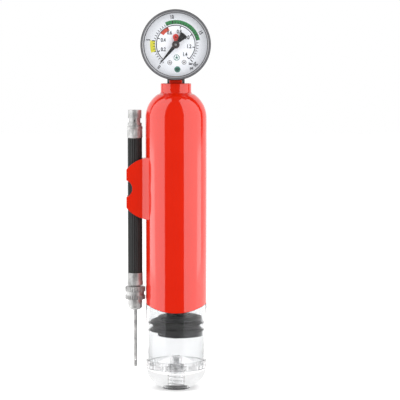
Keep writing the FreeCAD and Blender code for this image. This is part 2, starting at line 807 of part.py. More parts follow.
# ---- gauge movement ---------------------------------------------------------------------------
def bourdon_tube():
    """Flattened tube, bent from the block round the left and the top to its free end on the right."""
    outer = bourdon_r + bourdon_thickness / 2
    inner = bourdon_r - bourdon_thickness / 2
    half_width = bourdon_width / 2 - bourdon_wall_gap
    whole = ring(outer, inner, -half_width, half_width, gauge_centre, Y_AXIS)
    start = polar(bourdon_r, -90)
    cutter = [gauge_centre, polar(3 * bourdon_r, bourdon_end_angle), polar(3 * bourdon_r, -45)]
    cutter.append(Vector(block_width / 4, 0, polar(3 * bourdon_r, -90).z))
    cutter.append(Vector(block_width / 4, 0, start.z + bourdon_lift))
    return whole.cut(plate_from(cutter, -bourdon_width, 2 * bourdon_width))


def tip_place():
    return polar(bourdon_r, bourdon_end_angle - tip_turn)


def bourdon_tip():
    """End piece brazed on the free end of the tube, with a hole for the link's pin."""
    half = tip_half_width
    body = rod(tip_eye_r, -half, gear_thickness / 2, tip_place(), Y_AXIS)
    low_r = bourdon_r - tip_shoe
    high_r = bourdon_r + tip_shoe
    end = bourdon_end_angle
    foot = end - tip_shoe_turn
    shoe = [polar(low_r, end), polar(high_r, end), polar(high_r, foot), polar(low_r, foot)]
    body = body.fuse(plate_from(shoe, -half, half + gear_thickness / 2))
    outer = bourdon_r + bourdon_thickness
    inner = bourdon_r - bourdon_thickness
    tube = ring(outer, inner, -half, half, gauge_centre, Y_AXIS)
    beyond = plate_from([gauge_centre, polar(2 * bourdon_r, end), polar(2 * bourdon_r, 60)], -half, 2 * half)
    body = body.cut(tube.common(beyond))
    return body.cut(rod(link_pin_r, -half - CUT, half + CUT, tip_place(), Y_AXIS)).removeSplitter()


def arbor_centre():
    return polar(arbor_distance, arbor_angle)


def about(centre, radius, angle):
    """A point around any centre in the gauge's plane."""
    turn = math.radians(angle)
    return centre + Vector(radius * math.cos(turn), 0, radius * math.sin(turn))


def gear_outline(centre, pitch_r, teeth, first_angle, count):
    """Tapered teeth around a centre, from first_angle clockwise; returns the outline points."""
    addendum = tooth_addendum * gear_module
    dedendum = tooth_dedendum * gear_module
    pitch = 360 / teeth
    points = []
    for index in range(count):
        angle = first_angle - pitch * index
        root_half = pitch * tooth_share * root_share
        tip_half = pitch * tooth_share * tip_share
        points.append(about(centre, pitch_r - dedendum, angle + root_half))
        points.append(about(centre, pitch_r + addendum, angle + tip_half))
        points.append(about(centre, pitch_r + addendum, angle - tip_half))
        points.append(about(centre, pitch_r - dedendum, angle - root_half))
    return points


def sector_gear():
    """Toothed sector with a round boss and a tail that the link pulls."""
    centre = arbor_centre()
    facing = arbor_angle + 180
    first = facing + sector_spare_teeth * sector_pitch_deg
    teeth = gear_outline(centre, sector_r, sector_full_teeth, first, sector_cut_teeth)
    last = first - sector_pitch_deg * (sector_cut_teeth - 1)
    spoke_r = arbor_r + sector_spoke
    heart = [about(centre, spoke_r, last - sector_spread), about(centre, spoke_r, first + sector_spread)]
    half = gear_thickness / 2
    body = plate_from(teeth + heart, -half, gear_thickness)
    body = body.fuse(rod(arbor_r + sector_boss, -half, half, centre, Y_AXIS))
    middle = (first + last) / 2
    window = [about(centre, window_low_r, middle + turn) for turn in (-window_low_turn, window_low_turn)]
    window += [about(centre, window_high_r, middle + turn) for turn in (window_high_turn, -window_high_turn)]
    body = body.cut(plate_from(window, -gear_thickness, 2 * gear_thickness))
    tail_end = about(centre, tail_length, arbor_angle)
    side = tail_half_width
    tail = [about(centre, side, arbor_angle + 90), about(tail_end, side, arbor_angle + 90)]
    tail += [about(tail_end, side, arbor_angle - 90), about(centre, side, arbor_angle - 90)]
    body = body.fuse([plate_from(tail, -half, gear_thickness), rod(side, -half, half, tail_end, Y_AXIS)])
    body = body.cut(rod(arbor_r, -half, half, centre, Y_AXIS))
    return body.cut(rod(link_pin_r, -half, half, tail_end, Y_AXIS)).removeSplitter()


def sector_arbor():
    reach = plate_half_gap + plate_thickness
    return rod(arbor_r, -reach, reach, arbor_centre(), Y_AXIS)


def tip_link():
    """Flat link with its pin in the tube's end piece; its open eye lies over the sector's tail."""
    tail_end = about(arbor_centre(), tail_length, arbor_angle)
    front_y = gear_thickness / 2 + link_gap
    across = tip_place() - tail_end
    across = Vector(across.z, 0, -across.x).normalize() * (link_width / 2)
    strip = [tail_end + across, tip_place() + across, tip_place() - across, tail_end - across]
    body = plate_from(strip, front_y, link_thickness)
    for place in (tail_end, tip_place()):
        body = body.fuse(rod(link_width / 2 + link_eye, front_y, front_y + link_thickness, place, Y_AXIS))
    body = body.cut(rod(link_pin_r, front_y - CUT, front_y + link_thickness + CUT, tail_end, Y_AXIS))
    return body.fuse(rod(link_pin_r, -gear_thickness, front_y, tip_place(), Y_AXIS)).removeSplitter()


def pinion_arbor():
    """Thin shaft through the movement that carries the pinion and the pointer."""
    half = gear_thickness
    first = arbor_angle + 180 / pinion_teeth
    teeth = gear_outline(gauge_centre, pinion_r, pinion_teeth, first, pinion_teeth)
    body = plate_from(teeth, -half, 2 * half)
    shaft = rod(arbor_r, pointer_y - arbor_end, plate_half_gap + plate_thickness, gauge_centre, Y_AXIS)
    return body.fuse(shaft).removeSplitter()


def movement_plate(front_y):
    """Brass plate with bearings for both arbors, screwed to the block."""
    centre = arbor_centre()
    outline = [
        Vector(-plate_margin, 0, gauge_z + plate_margin),
        Vector(centre.x - plate_step, 0, gauge_z + plate_margin),
        Vector(centre.x + plate_margin, 0, centre.z + plate_margin + plate_shoulder),
        Vector(centre.x + plate_margin, 0, centre.z - plate_margin),
        Vector(block_width / 2, 0, gauge_z + block_top - plate_foot),
        Vector(-block_width / 2, 0, gauge_z + block_top - plate_foot),
        Vector(-block_width / 2, 0, gauge_z + block_top + plate_heel),
    ]
    body = plate_from(outline, front_y, plate_thickness)
    low_y = front_y - CUT
    high_y = front_y + plate_thickness + CUT
    for place in (gauge_centre, centre):
        body = body.cut(rod(arbor_r + RUNNING_FIT / 2, low_y, high_y, place, Y_AXIS))
    for place in screw_places() + [post_place()]:
        body = body.cut(rod(movement_screw_r, low_y, high_y, place, Y_AXIS))
    return body


def screw_places():
    height = gauge_z + block_top - screw_drop
    return [Vector(-block_width / 4, 0, height), Vector(block_width / 4, 0, height)]


def post_place():
    return Vector(arbor_centre().x, 0, gauge_z + post_lift)


def movement_front_plate():
    return movement_plate(-plate_half_gap - plate_thickness)


def movement_back_plate():
    return movement_plate(plate_half_gap)


def movement_post():
    body = rod(post_r, -plate_half_gap, plate_half_gap, post_place(), Y_AXIS)
    reach = plate_half_gap + plate_thickness
    return body.fuse(rod(movement_screw_r, -reach, reach, post_place(), Y_AXIS)).removeSplitter()


def movement_screws():
    """Two long screws through the front plate, the block and the back plate."""
    reach = plate_half_gap + plate_thickness
    screws = []
    for place in screw_places():
        head = rod(screw_head_r, -reach - screw_head_height, -reach, place, Y_AXIS)
        shank = rod(movement_screw_r, -reach, reach, place, Y_AXIS)
        screws.append(head.fuse(shank).removeSplitter())
    return Part.makeCompound(screws)


def hairspring():
    """Flat spiral round the pinion's arbor, made of half circles that grow by half a pitch."""
    low_y = gear_thickness + hairspring_gap
    sides = []
    for offset in (0, hairspring_thickness):
        edges = []
        radius = arbor_r + offset
        centre_x = 0.0
        for index in range(2 * hairspring_turns):
            side = 1 if index % 2 == 0 else -1
            start = Vector(centre_x + side * radius, low_y, gauge_z)
            end = Vector(centre_x - side * radius, low_y, gauge_z)
            middle = Vector(centre_x, low_y, gauge_z + side * radius)
            edges.append(Part.Arc(start, middle, end).toShape())
            radius += hairspring_pitch / 2
            centre_x += side * hairspring_pitch / 2
        sides.append(edges)
    inner, outer = sides
    start_cap = Part.LineSegment(outer[0].Vertexes[0].Point, inner[0].Vertexes[0].Point).toShape()
    end_cap_edge = Part.LineSegment(inner[-1].Vertexes[-1].Point, outer[-1].Vertexes[-1].Point).toShape()
    wire = Part.Wire(Part.__sortEdges__(inner + [end_cap_edge] + outer + [start_cap]))
    return Part.Face(wire).extrude(Vector(0, hairspring_height, 0))


def pointer():
    """Tapered black hand with a fan-shaped counterweight behind its hub."""
    zero = pointer_zero_angle
    tip = polar(pointer_length, zero)
    hand = [
        about(gauge_centre, pointer_base / 2, zero + 90),
        about(tip, pointer_tip / 2, zero + 90),
        about(tip, pointer_tip / 2, zero - 90),
        about(gauge_centre, pointer_base / 2, zero - 90),
    ]
    fan = [gauge_centre]
    for share in (-1, -0.5, 0, 0.5, 1):
        fan.append(polar(weight_r, zero + 180 + share * weight_half_angle))
    body = plate_from(hand, pointer_y, pointer_thickness)
    body = body.fuse([
        plate_from(fan, pointer_y, pointer_thickness),
        rod(hub_r, pointer_y, pointer_y + pointer_thickness, gauge_centre, Y_AXIS),
    ])
    return body.cut(rod(arbor_r, pointer_y - CUT, pointer_y + CUT, gauge_centre, Y_AXIS)).removeSplitter()


def pointer_hub():
    """Round cap over the arbor's end."""
    front_y = pointer_y - hub_height
    body = rod(hub_r, front_y, pointer_y, gauge_centre, Y_AXIS)
    return body.cut(rod(arbor_r, pointer_y - arbor_end, pointer_y, gauge_centre, Y_AXIS))


# ---- write every node -------------------------------------------------------------------------
NODES = {
    "end_cap": end_cap,
    "outlet_gasket": outlet_gasket,
    "valve_seat": valve_seat,
    "spring_stop": spring_stop,
    "valve_poppet": valve_poppet,
    "valve_spring": valve_spring,
    "barrel_tube": barrel_tube,
    "rod_gland": rod_gland,
    "handle_shell": handle_shell,
    "window_sleeve": window_sleeve,
    "hose_clip": hose_clip,
    "piston_rod": piston_rod,
    "piston_core": piston_core,
    "piston_seal": piston_seal,
    "piston_screw": piston_screw,
    "hose": hose,
    "upper_ferrule": upper_ferrule,
    "outlet_fitting": outlet_fitting,
    "lower_ferrule": lower_ferrule,
    "hose_nut": hose_nut,
    "nut_gasket": nut_gasket,
    "needle": needle,
    "gauge_collar": gauge_collar,
    "gauge_case": gauge_case,
    "gauge_bezel": gauge_bezel,
    "gauge_lens": gauge_lens,
    "dial_plate": dial_plate,
    "set_marker": set_marker,
    "gauge_stem": gauge_stem,
    "bourdon_tube": bourdon_tube,
    "bourdon_tip": bourdon_tip,
    "tip_link": tip_link,
    "sector_gear": sector_gear,
    "sector_arbor": sector_arbor,
    "movement_front_plate": movement_front_plate,
    "movement_back_plate": movement_back_plate,
    "movement_post": movement_post,
    "movement_screws": movement_screws,
    "pinion_arbor": pinion_arbor,
    "hairspring": hairspring,
    "pointer": pointer,
    "pointer_hub": pointer_hub,
}


def main():
    os.makedirs("parts", exist_ok=True)
    for name, make in NODES.items():
        shape = make()
        print(f"{name:22s} solids {len(shape.Solids)} valid {shape.isValid()} volume {shape.Volume:.2f}")
        shape.exportStep(f"parts/{name}.step")
    print(f"stroke {stroke:.2f}")


main()
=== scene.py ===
"""Looks of a ball inflation pump: red handle, clear barrel, pressure gauge, clipped hose and needle."""
import itertools
import json
import math
from contextlib import contextmanager

import bmesh
import bpy
from mathutils import Matrix, Vector


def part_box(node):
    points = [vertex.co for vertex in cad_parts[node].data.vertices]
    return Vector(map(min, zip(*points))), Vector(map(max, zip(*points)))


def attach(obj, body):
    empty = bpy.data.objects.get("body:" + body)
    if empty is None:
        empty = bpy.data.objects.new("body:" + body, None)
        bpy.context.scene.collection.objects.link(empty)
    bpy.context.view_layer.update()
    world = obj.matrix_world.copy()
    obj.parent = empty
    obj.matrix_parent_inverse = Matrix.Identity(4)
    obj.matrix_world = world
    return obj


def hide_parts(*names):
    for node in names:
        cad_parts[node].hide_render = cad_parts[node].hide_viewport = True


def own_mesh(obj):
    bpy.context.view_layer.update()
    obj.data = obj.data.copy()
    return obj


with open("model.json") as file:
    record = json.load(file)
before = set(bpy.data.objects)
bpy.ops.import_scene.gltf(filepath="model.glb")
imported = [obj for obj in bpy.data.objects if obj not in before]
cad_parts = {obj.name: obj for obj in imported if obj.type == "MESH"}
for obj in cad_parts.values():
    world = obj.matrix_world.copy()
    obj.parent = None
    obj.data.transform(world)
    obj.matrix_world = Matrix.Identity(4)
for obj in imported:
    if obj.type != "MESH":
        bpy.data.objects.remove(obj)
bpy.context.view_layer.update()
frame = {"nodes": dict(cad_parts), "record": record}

MM = 0.001
CAD_WELD_M = 2e-6
NODES = frame["nodes"]
BODY_OF = {node: body for body, nodes in frame["record"]["behaviour"]["bodies"].items() for node in nodes}
SLOT_OF = {part["node"]: part["material_slot"] for part in frame["record"]["subparts"]}


# ---- sizes, read from the frame -----------------------------------------------------------------
def low(node, axis):
    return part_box(node)[0][axis] / MM


def high(node, axis):
    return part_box(node)[1][axis] / MM


def middle(node, axis):
    return (low(node, axis) + high(node, axis)) / 2


HANDLE_R = high("window_sleeve", 0)
BARREL_R = high("barrel_tube", 0)
BARREL_LOW = low("barrel_tube", 2)
BARREL_HIGH = high("barrel_tube", 2)
SLIDE_GAP = 0.1
BARREL_WALL = 1.2
SLEEVE_BORE = BARREL_R + SLIDE_GAP
CHAMBER_R = BARREL_R - BARREL_WALL
SEAM_Z = low("window_sleeve", 2)
EDGE_FRONT_Z = low("handle_shell", 2)
EDGE_SIDE_Z = high("window_sleeve", 2)
NECK_TOP = low("gauge_collar", 2)
HOSE_X = middle("hose", 0)
GAUGE_Z = middle("gauge_bezel", 2)
BEZEL_R = high("gauge_bezel", 0)
BEZEL_LIP = 1.7
BEZEL_FRONT = low("gauge_bezel", 1)
DIAL_FRONT = low("dial_plate", 1)
DIAL_R = high("dial_plate", 0)
GAUGE_AT = Matrix.Translation((0, 0, GAUGE_Z * MM)) @ Matrix.Rotation(math.radians(90), 4, "X")
HOSE_AT = Matrix.Translation((HOSE_X * MM, 0, 0))


# ---- shader maths -------------------------------------------------------------------------------
class Sum:
    """A number socket that takes part in Python arithmetic."""

    def __init__(self, finish, socket):
        self.finish = finish
        self.socket = socket

    def _with(self, operation, first, second):
        node = self.finish.node("ShaderNodeMath", {"operation": operation}, {0: first, 1: second})
        return Sum(self.finish, node.outputs[0])

    def __add__(self, other):
        return self._with("ADD", self, other)

    def __sub__(self, other):
        return self._with("SUBTRACT", self, other)

    def __rsub__(self, other):
        return self._with("SUBTRACT", other, self)

    def __mul__(self, other):
        return self._with("MULTIPLY", self, other)

    __radd__ = __add__
    __rmul__ = __mul__


class Finish:
    """A material: its nodes, and the surface shader that they feed."""

    def __init__(self, name, **surface):
        self.material = bpy.data.materials.new(name)
        self.material.use_nodes = True
        self.tree = self.material.node_tree
        self.surface = self.tree.nodes["Principled BSDF"]
        self.place = self.node("ShaderNodeTexCoord").outputs["Object"]
        for socket, value in surface.items():
            self.surface.inputs[socket.replace("_", " ")].default_value = value

    def node(self, kind, settings=None, values=None):
        node = self.tree.nodes.new(kind)
        for name, value in (settings or {}).items():
            if name == "stops":
                self._stops(node.color_ramp, value)
            else:
                setattr(node, name, value)
        for name, value in (values or {}).items():
            self.feed(node.inputs[name], value)
        return node

    @staticmethod
    def _stops(ramp, stops):
        while len(ramp.elements) < len(stops):
            ramp.elements.new(0.5)
        for element, (position, level) in zip(ramp.elements, stops):
            element.position = position
            element.color = (level, level, level, 1)

    def feed(self, socket, value):
        if isinstance(value, Sum):
            value = value.socket
        if isinstance(value, bpy.types.NodeSocket):
            self.tree.links.new(value, socket)
        else:
            socket.default_value = value

    def noise(self, scale, detail=3.0, stretch=(1, 1, 1), roughness=0.55):
        mapped = self.node("ShaderNodeMapping", None, {"Vector": self.place, "Scale": stretch})
        values = {"Vector": mapped.outputs[0], "Scale": scale, "Detail": detail, "Roughness": roughness}
        return Sum(self, self.node("ShaderNodeTexNoise", None, values).outputs["Fac"])

    def shaped(self, value, *stops):
        ramp = self.node("ShaderNodeValToRGB", {"stops": stops}, {"Fac": value})
        return Sum(self, ramp.outputs["Color"])

    def colour(self, first, second, factor):
        settings = {"data_type": "RGBA"}
        mixed = self.node("ShaderNodeMix", settings, {"Factor": factor, 6: (*first, 1), 7: (*second, 1)})
        self.feed(self.surface.inputs["Base Color"], mixed.outputs[2])
        return self

    def rough(self, value):
        self.feed(self.surface.inputs["Roughness"], value)
        return self

    def bump(self, height, strength, depth_mm):
        values = {"Height": height, "Strength": strength, "Distance": depth_mm * MM}
        bumped = self.node("ShaderNodeBump", None, values)
        self.feed(self.surface.inputs["Normal"], bumped.outputs[0])
        return self


# ---- finishes -----------------------------------------------------------------------------------
def moulded(name, dark, light, roughness, spread, grain=900.0, relief=0.02, **surface):
    """Moulded plastic or rubber: slow colour drift, uneven gloss and a fine skin."""
    finish = Finish(name, **surface)
    finish.colour(dark, light, finish.noise(45.0))
    finish.rough(roughness + spread * finish.noise(160.0, 5.0))
    return finish.bump(finish.noise(grain, 4.0), 0.35, relief).material


def metal(name, dark, light, roughness, spread, turning=(1, 1, 40), metallic=1.0):
    """Turned and plated metal: fine lines round the axis, smudges, and slight tarnish."""
    relief_mm = 0.008
    finish = Finish(name, Metallic=metallic)
    smudge = finish.noise(220.0, 4.0)
    lines = finish.noise(700.0, 2.0, turning)
    finish.colour(dark, light, finish.shaped(smudge, (0.3, 0.0), (0.65, 1.0)))
    finish.rough(roughness + spread * (0.6 * smudge + 0.4 * lines))
    return finish.bump(lines, 0.3, relief_mm).material


def clear_plastic(name, dark, light, ior, coat):
    """Clear moulded plastic with faint scuffs and flow lines."""
    finish = Finish(name, Transmission_Weight=1.0, IOR=ior, Roughness=0.0, Coat_Weight=coat, Coat_IOR=1.5)
    finish.colour(dark, light, finish.noise(60.0))
    scuffs = finish.shaped(finish.noise(500.0, 6.0, (1, 1, 0.2)), (0.62, 0.0), (0.8, 1.0))
    finish.rough(0.05 * scuffs)
    return finish.bump(finish.noise(90.0, 2.0), 0.04, 0.03).material


def frosted_plastic():
    """Translucent moulded plastic of the small valve parts."""
    finish = Finish("frosted_plastic", Alpha=0.06)
    finish.colour((0.62, 0.63, 0.64), (0.80, 0.80, 0.81), finish.noise(300.0))
    return finish.rough(0.55 + 0.2 * finish.noise(700.0)).material


def lens_plastic():
    """The gauge's lens, nearly invisible apart from its gloss."""
    finish = Finish("lens_plastic", Alpha=0.02, Specular_IOR_Level=0.6)
    finish.colour((0.93, 0.96, 0.98), (0.98, 0.99, 1.0), finish.noise(80.0))
    return finish.rough(0.03 + 0.05 * finish.noise(300.0, 5.0)).material


def rim_steel():
    """Dark rolled steel of the gauge's rim, with painted reflection: lighter and darker rings by radius stand
    in for how its outer roll, step and inner lip reflect the room.
    """
    finish = Finish("rim_steel", Metallic=0.35)
    x, y, z = finish.node("ShaderNodeSeparateXYZ", None, {0: finish.place}).outputs
    across = Sum(finish, x)
    up = Sum(finish, z) - GAUGE_Z * MM
    squared = across * across + up * up
    outer, inner = (BEZEL_R * MM) ** 2, ((BEZEL_R - BEZEL_LIP) * MM) ** 2
    share = (squared - inner) * (1 / (outer - inner))
    # painted reflection: dark outer roll, grey step and dark inner lip, set in the colour by radius
    reflection_rings = finish.shaped(share, (0.06, 0.85), (0.30, 0.85), (0.40, 0.15), (0.50, 0.15), (0.58, 0.75),
                         (0.74, 0.60), (0.84, 0.0))
    finish.colour((0.012, 0.013, 0.015), (0.40, 0.40, 0.42), reflection_rings)
    finish.rough(0.24 + 0.12 * finish.noise(400.0, 4.0))
    return finish.bump(finish.noise(900.0, 3.0), 0.3, 0.006).material


def printed(name, dark, light, glow=0.0):
    """Printing ink or enamel; glow is painted light, a faint emission that keeps its level in the shade."""
    finish = Finish(name, Emission_Strength=glow)
    finish.surface.inputs["Emission Color"].default_value = (*light, 1)
    finish.colour(dark, light, finish.noise(900.0, 4.0))
    return finish.rough(0.42 + 0.12 * finish.noise(1500.0)).material


FINISHES = {
    "red_plastic": moulded("red_plastic", (0.58, 0.012, 0.002), (0.66, 0.017, 0.003), 0.05, 0.05,
                           grain=500.0, relief=0.006, IOR=1.8),
    "clear_plastic": clear_plastic("clear_plastic", (0.95, 0.955, 0.955), (0.975, 0.975, 0.98), 1.16, 0.08),
    "barrel_plastic": clear_plastic("barrel_plastic", (0.815, 0.82, 0.825), (0.885, 0.89, 0.895), 1.20, 0.05),
    "frosted_plastic": frosted_plastic(),
    "cap_plastic": clear_plastic("cap_plastic", (0.90, 0.905, 0.91), (0.97, 0.97, 0.975), 1.24, 0.3),
    "lens_plastic": lens_plastic(),
    "black_plastic": moulded("black_plastic", (0.016, 0.016, 0.018), (0.035, 0.036, 0.038), 0.36, 0.16,
                             Specular_IOR_Level=0.3),
    "seal_rubber": moulded("seal_rubber", (0.022, 0.022, 0.023), (0.050, 0.050, 0.051), 0.5, 0.2,
                           grain=1400.0, relief=0.03, Specular_IOR_Level=0.25),
    "hose_rubber": moulded("hose_rubber", (0.012, 0.013, 0.013), (0.030, 0.033, 0.033), 0.40, 0.16,
                           grain=1800.0, relief=0.03, Specular_IOR_Level=0.55),
    "plated_steel": metal("plated_steel", (0.27, 0.27, 0.268), (0.62, 0.62, 0.615), 0.26, 0.26, metallic=0.6),
    "bright_steel": metal("bright_steel", (0.26, 0.26, 0.26), (0.44, 0.44, 0.45), 0.34, 0.2, metallic=0.6),
    "dark_steel": metal("dark_steel", (0.125, 0.125, 0.135), (0.155, 0.155, 0.165), 0.24, 0.12, (1, 40, 1)),
    "rim_steel": rim_steel(),
    "movement_brass": metal("movement_brass", (0.62, 0.42, 0.14), (0.84, 0.62, 0.28), 0.2, 0.22, (1, 1, 8)),
    # painted light: the dial glows faintly so the shade of the rim and case does not darken its edge
    "dial_paint": printed("dial_paint", (0.80, 0.82, 0.87), (0.88, 0.90, 0.94), glow=0.14),
    "pointer_paint": moulded("pointer_paint", (0.004, 0.004, 0.005), (0.010, 0.010, 0.010), 0.45, 0.15,
                             Specular_IOR_Level=0.2),
    "marker_paint": moulded("marker_paint", (0.55, 0.02, 0.015), (0.68, 0.035, 0.02), 0.30, 0.12),
    # painted shade: a darker copy of the marker's red, for the shaded notch in its head
    "marker_shade": moulded("marker_shade", (0.10, 0.004, 0.003), (0.16, 0.008, 0.005), 0.35, 0.12),
    "spring_wire": metal("spring_wire", (0.86, 0.86, 0.87), (0.94, 0.94, 0.95), 0.4, 0.2, metallic=0.15),
    "hub_steel": metal("hub_steel", (0.030, 0.018, 0.017), (0.060, 0.038, 0.036), 0.3, 0.2, metallic=0.2),
    "print_black": printed("print_black", (0.012, 0.012, 0.02), (0.04, 0.04, 0.05)),
    "print_green": printed("print_green", (0.012, 0.22, 0.05), (0.03, 0.32, 0.08)),
    "print_yellow": printed("print_yellow", (0.75, 0.70, 0.02), (0.85, 0.82, 0.05)),
    "print_red": printed("print_red", (0.60, 0.05, 0.02), (0.72, 0.08, 0.03)),
    "print_grey": printed("print_grey", (0.25, 0.24, 0.24), (0.42, 0.40, 0.40)),
    "print_teal": printed("print_teal", (0.05, 0.22, 0.16), (0.12, 0.34, 0.26)),
}


# ---- mesh building ------------------------------------------------------------------------------
def piece(name, mesh, finish, body, replaces=(), smooth_deg=32.0, slot=None):
    """Put a finished mesh in the scene, riding on its body."""
    obj = bpy.data.objects.new(name, mesh)
    bpy.context.scene.collection.objects.link(obj)
    mesh.materials.clear()
    mesh.materials.append(FINISHES[finish])
    mesh.shade_smooth()
    mesh.set_sharp_from_angle(angle=math.radians(smooth_deg))
    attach(obj, body)
    if replaces:
        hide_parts(*replaces)
        slot = slot or SLOT_OF[replaces[0]]
    return obj


@contextmanager
def editing(mesh):
    """A mesh opened for editing and written back at the end."""
    work = bmesh.new()
    work.from_mesh(mesh)
    yield work
    work.to_mesh(mesh)
    work.free()


def mesh_from(name, points, faces, outwards=True):
    """A mesh from points in millimetres, with its faces turned outwards."""
    mesh = bpy.data.meshes.new(name)
    mesh.from_pydata([Vector(p) * MM for p in points], [], faces)
    if outwards:
        with editing(mesh) as work:
            bmesh.ops.remove_doubles(work, verts=work.verts, dist=1e-7)
            bmesh.ops.recalc_face_normals(work, faces=work.faces)
    return mesh


def rounded(outline, radius, steps=4):
    """Round each corner of a closed (radius, height) outline. A third item is a corner's own radius."""
    nearly_straight, side_share = math.radians(176), 0.45
    result = []
    count = len(outline)
    for index, corner in enumerate(outline):
        here = Vector(corner[:2])
        before = Vector(outline[index - 1][:2]) - here
        after = Vector(outline[(index + 1) % count][:2]) - here
        size = corner[2] if len(corner) > 2 else radius
        turn = before.angle(after) if before.length and after.length else math.pi
        if size <= 0 or turn > nearly_straight or here.x <= 0:
            result.append(tuple(here))
            continue
        reach = min(size / math.tan(turn / 2), before.length * side_share, after.length * side_share)
        start = here + before.normalized() * reach
        end = here + after.normalized() * reach
        for step in range(steps + 1):
            share = step / steps
            point = start * (1 - share) ** 2 + here * (2 * share * (1 - share)) + end * share ** 2
            result.append((point.x, point.y))
    return result


def arc(centre, radius, start_deg, end_deg, steps):
    """Points along an arc of an outline."""
    points = []
    for step in range(steps + 1):
        turn = math.radians(start_deg + (end_deg - start_deg) * step / steps)
        points.append((centre[0] + radius * math.cos(turn), centre[1] + radius * math.sin(turn)))
    return points


def turned(name, outline, segments=128, shift=None):
    """Revolve a closed outline about +Z. shift(radius, height, angle) may move each point."""
    points = []
    for segment in range(segments):
        angle = 2 * math.pi * segment / segments
        for r, h in outline:
            if shift:
                r, h = shift(r, h, angle)
            points.append((r * math.cos(angle), r * math.sin(angle), h))
    count = len(outline)
    faces = []
    for segment in range(segments):
        a = segment * count
        b = ((segment + 1) % segments) * count
        for index in range(count):
            following = (index + 1) % count
            if outline[index][0] <= 0 and outline[following][0] <= 0:
                continue
            faces.append((a + index, b + index, b + following, a + following))
    return mesh_from(name, points, faces)


def placed(mesh, matrix):
    mesh.transform(matrix)
    return mesh


def refined(node, bevel_mm, steps=2, finish=None):
    """A CAD node's own shape with its edges rounded and its curved faces smooth."""
    flat, sharp = math.radians(0.4), math.radians(40)
    mesh = NODES[node].data.copy()
    with editing(mesh) as work:
        bmesh.ops.remove_doubles(work, verts=work.verts, dist=CAD_WELD_M)
        bmesh.ops.dissolve_limit(work, angle_limit=flat, verts=work.verts, edges=work.edges)
    scratch = bpy.data.objects.new("scratch", mesh)
    bpy.context.scene.collection.objects.link(scratch)
    bevel = scratch.modifiers.new("edges", "BEVEL")
    bevel.width = bevel_mm * MM
    bevel.segments = steps
    bevel.limit_method = "ANGLE"
    bevel.angle_limit = sharp
    result = baked(scratch)
    return piece(node + "_finished", result, finish or SLOT_OF[node], BODY_OF[node], [node])


def baked(scratch):
    """The evaluated mesh of a scratch object, which is then removed."""
    graph = bpy.context.evaluated_depsgraph_get()
    mesh = bpy.data.meshes.new_from_object(scratch.evaluated_get(graph), depsgraph=graph)
    bpy.data.objects.remove(scratch)
    return mesh


def joined(name, meshes):
    """Several meshes as one."""
    work = bmesh.new()
    for mesh in meshes:
        work.from_mesh(mesh)
    result = bpy.data.meshes.new(name)
    work.to_mesh(result)
    work.free()
    return result


# ---- Geometry Nodes: what repeats round an axis or winds along it -------------------------------
class Tree:
    """A Geometry Nodes tree with named inputs, made into a plain mesh."""

    def __init__(self, name, inputs):
        self.group = bpy.data.node_groups.new(name, "GeometryNodeTree")
        self.group.interface.new_socket("Geometry", in_out="OUTPUT", socket_type="NodeSocketGeometry")
        self.values = inputs
        for key, value in inputs.items():
            kind = "NodeSocketInt" if isinstance(value, int) else "NodeSocketFloat"
            self.group.interface.new_socket(key, in_out="INPUT", socket_type=kind)
        self.given = self.group.nodes.new("NodeGroupInput")
        self.last = self.group.nodes.new("NodeGroupOutput")

    def node(self, kind, settings=None, values=None):
        node = self.group.nodes.new(kind)
        for name, value in (settings or {}).items():
            setattr(node, name, value)
        for name, value in (values or {}).items():
            if isinstance(value, str):
                value = self.given.outputs[value]
            if isinstance(value, bpy.types.NodeSocket):
                self.group.links.new(value, node.inputs[name])
            else:
                node.inputs[name].default_value = value
        return node

    def maths(self, operation, first, second):
        return self.node("ShaderNodeMath", {"operation": operation}, {0: first, 1: second}).outputs[0]

    def mesh(self, geometry, finish):
        real = self.node("GeometryNodeRealizeInstances", None, {"Geometry": geometry})
        painted = self.node("GeometryNodeSetMaterial", None, {"Geometry": real.outputs[0]})
        painted.inputs["Material"].default_value = FINISHES[finish]
        self.group.links.new(painted.outputs[0], self.last.inputs[0])
        host = bpy.data.objects.new("scratch", bpy.data.meshes.new("scratch"))
        bpy.context.scene.collection.objects.link(host)
        modifier = host.modifiers.new("tree", "NODES")
        modifier.node_group = self.group
        for item in self.group.interface.items_tree:
            if item.in_out == "INPUT":
                modifier[item.identifier] = self.values[item.name]
        return baked(host)


def round_row(name, finish, count, radius_mm, first_deg, step_deg, size_mm, height_mm=0.0, rod=False):
    """Bars or rods set round +Z, as one mesh.

    size_mm is (radial, tangential, along) for a bar and (radius, number of sides, length) for a rod.
    """
    inputs = {
        "Count": count,
        "Radius": radius_mm * MM,
        "First angle": math.radians(first_deg),
        "Step angle": math.radians(step_deg),
        "Height": height_mm * MM,
    }
    tree = Tree(name, inputs)
    index = tree.node("GeometryNodeInputIndex").outputs[0]
    angle = tree.maths("ADD", "First angle", tree.maths("MULTIPLY", index, "Step angle"))
    x = tree.maths("MULTIPLY", "Radius", tree.maths("COSINE", angle, 0.0))
    y = tree.maths("MULTIPLY", "Radius", tree.maths("SINE", angle, 0.0))
    place = tree.node("ShaderNodeCombineXYZ", None, {"X": x, "Y": y, "Z": "Height"}).outputs[0]
    turn = tree.node("ShaderNodeCombineXYZ", None, {"Z": angle}).outputs[0]
    dots = tree.node("GeometryNodePoints", None, {"Count": "Count", "Position": place})
    if rod:
        values = {"Vertices": size_mm[1], "Radius": size_mm[0] * MM, "Depth": size_mm[2] * MM}
        shape = tree.node("GeometryNodeMeshCylinder", None, values)
    else:
        shape = tree.node("GeometryNodeMeshCube", None, {"Size": [side * MM for side in size_mm]})
    values = {"Points": dots.outputs[0], "Instance": shape.outputs["Mesh"], "Rotation": turn}
    spread = tree.node("GeometryNodeInstanceOnPoints", None, values)
    return tree.mesh(spread.outputs[0], finish)


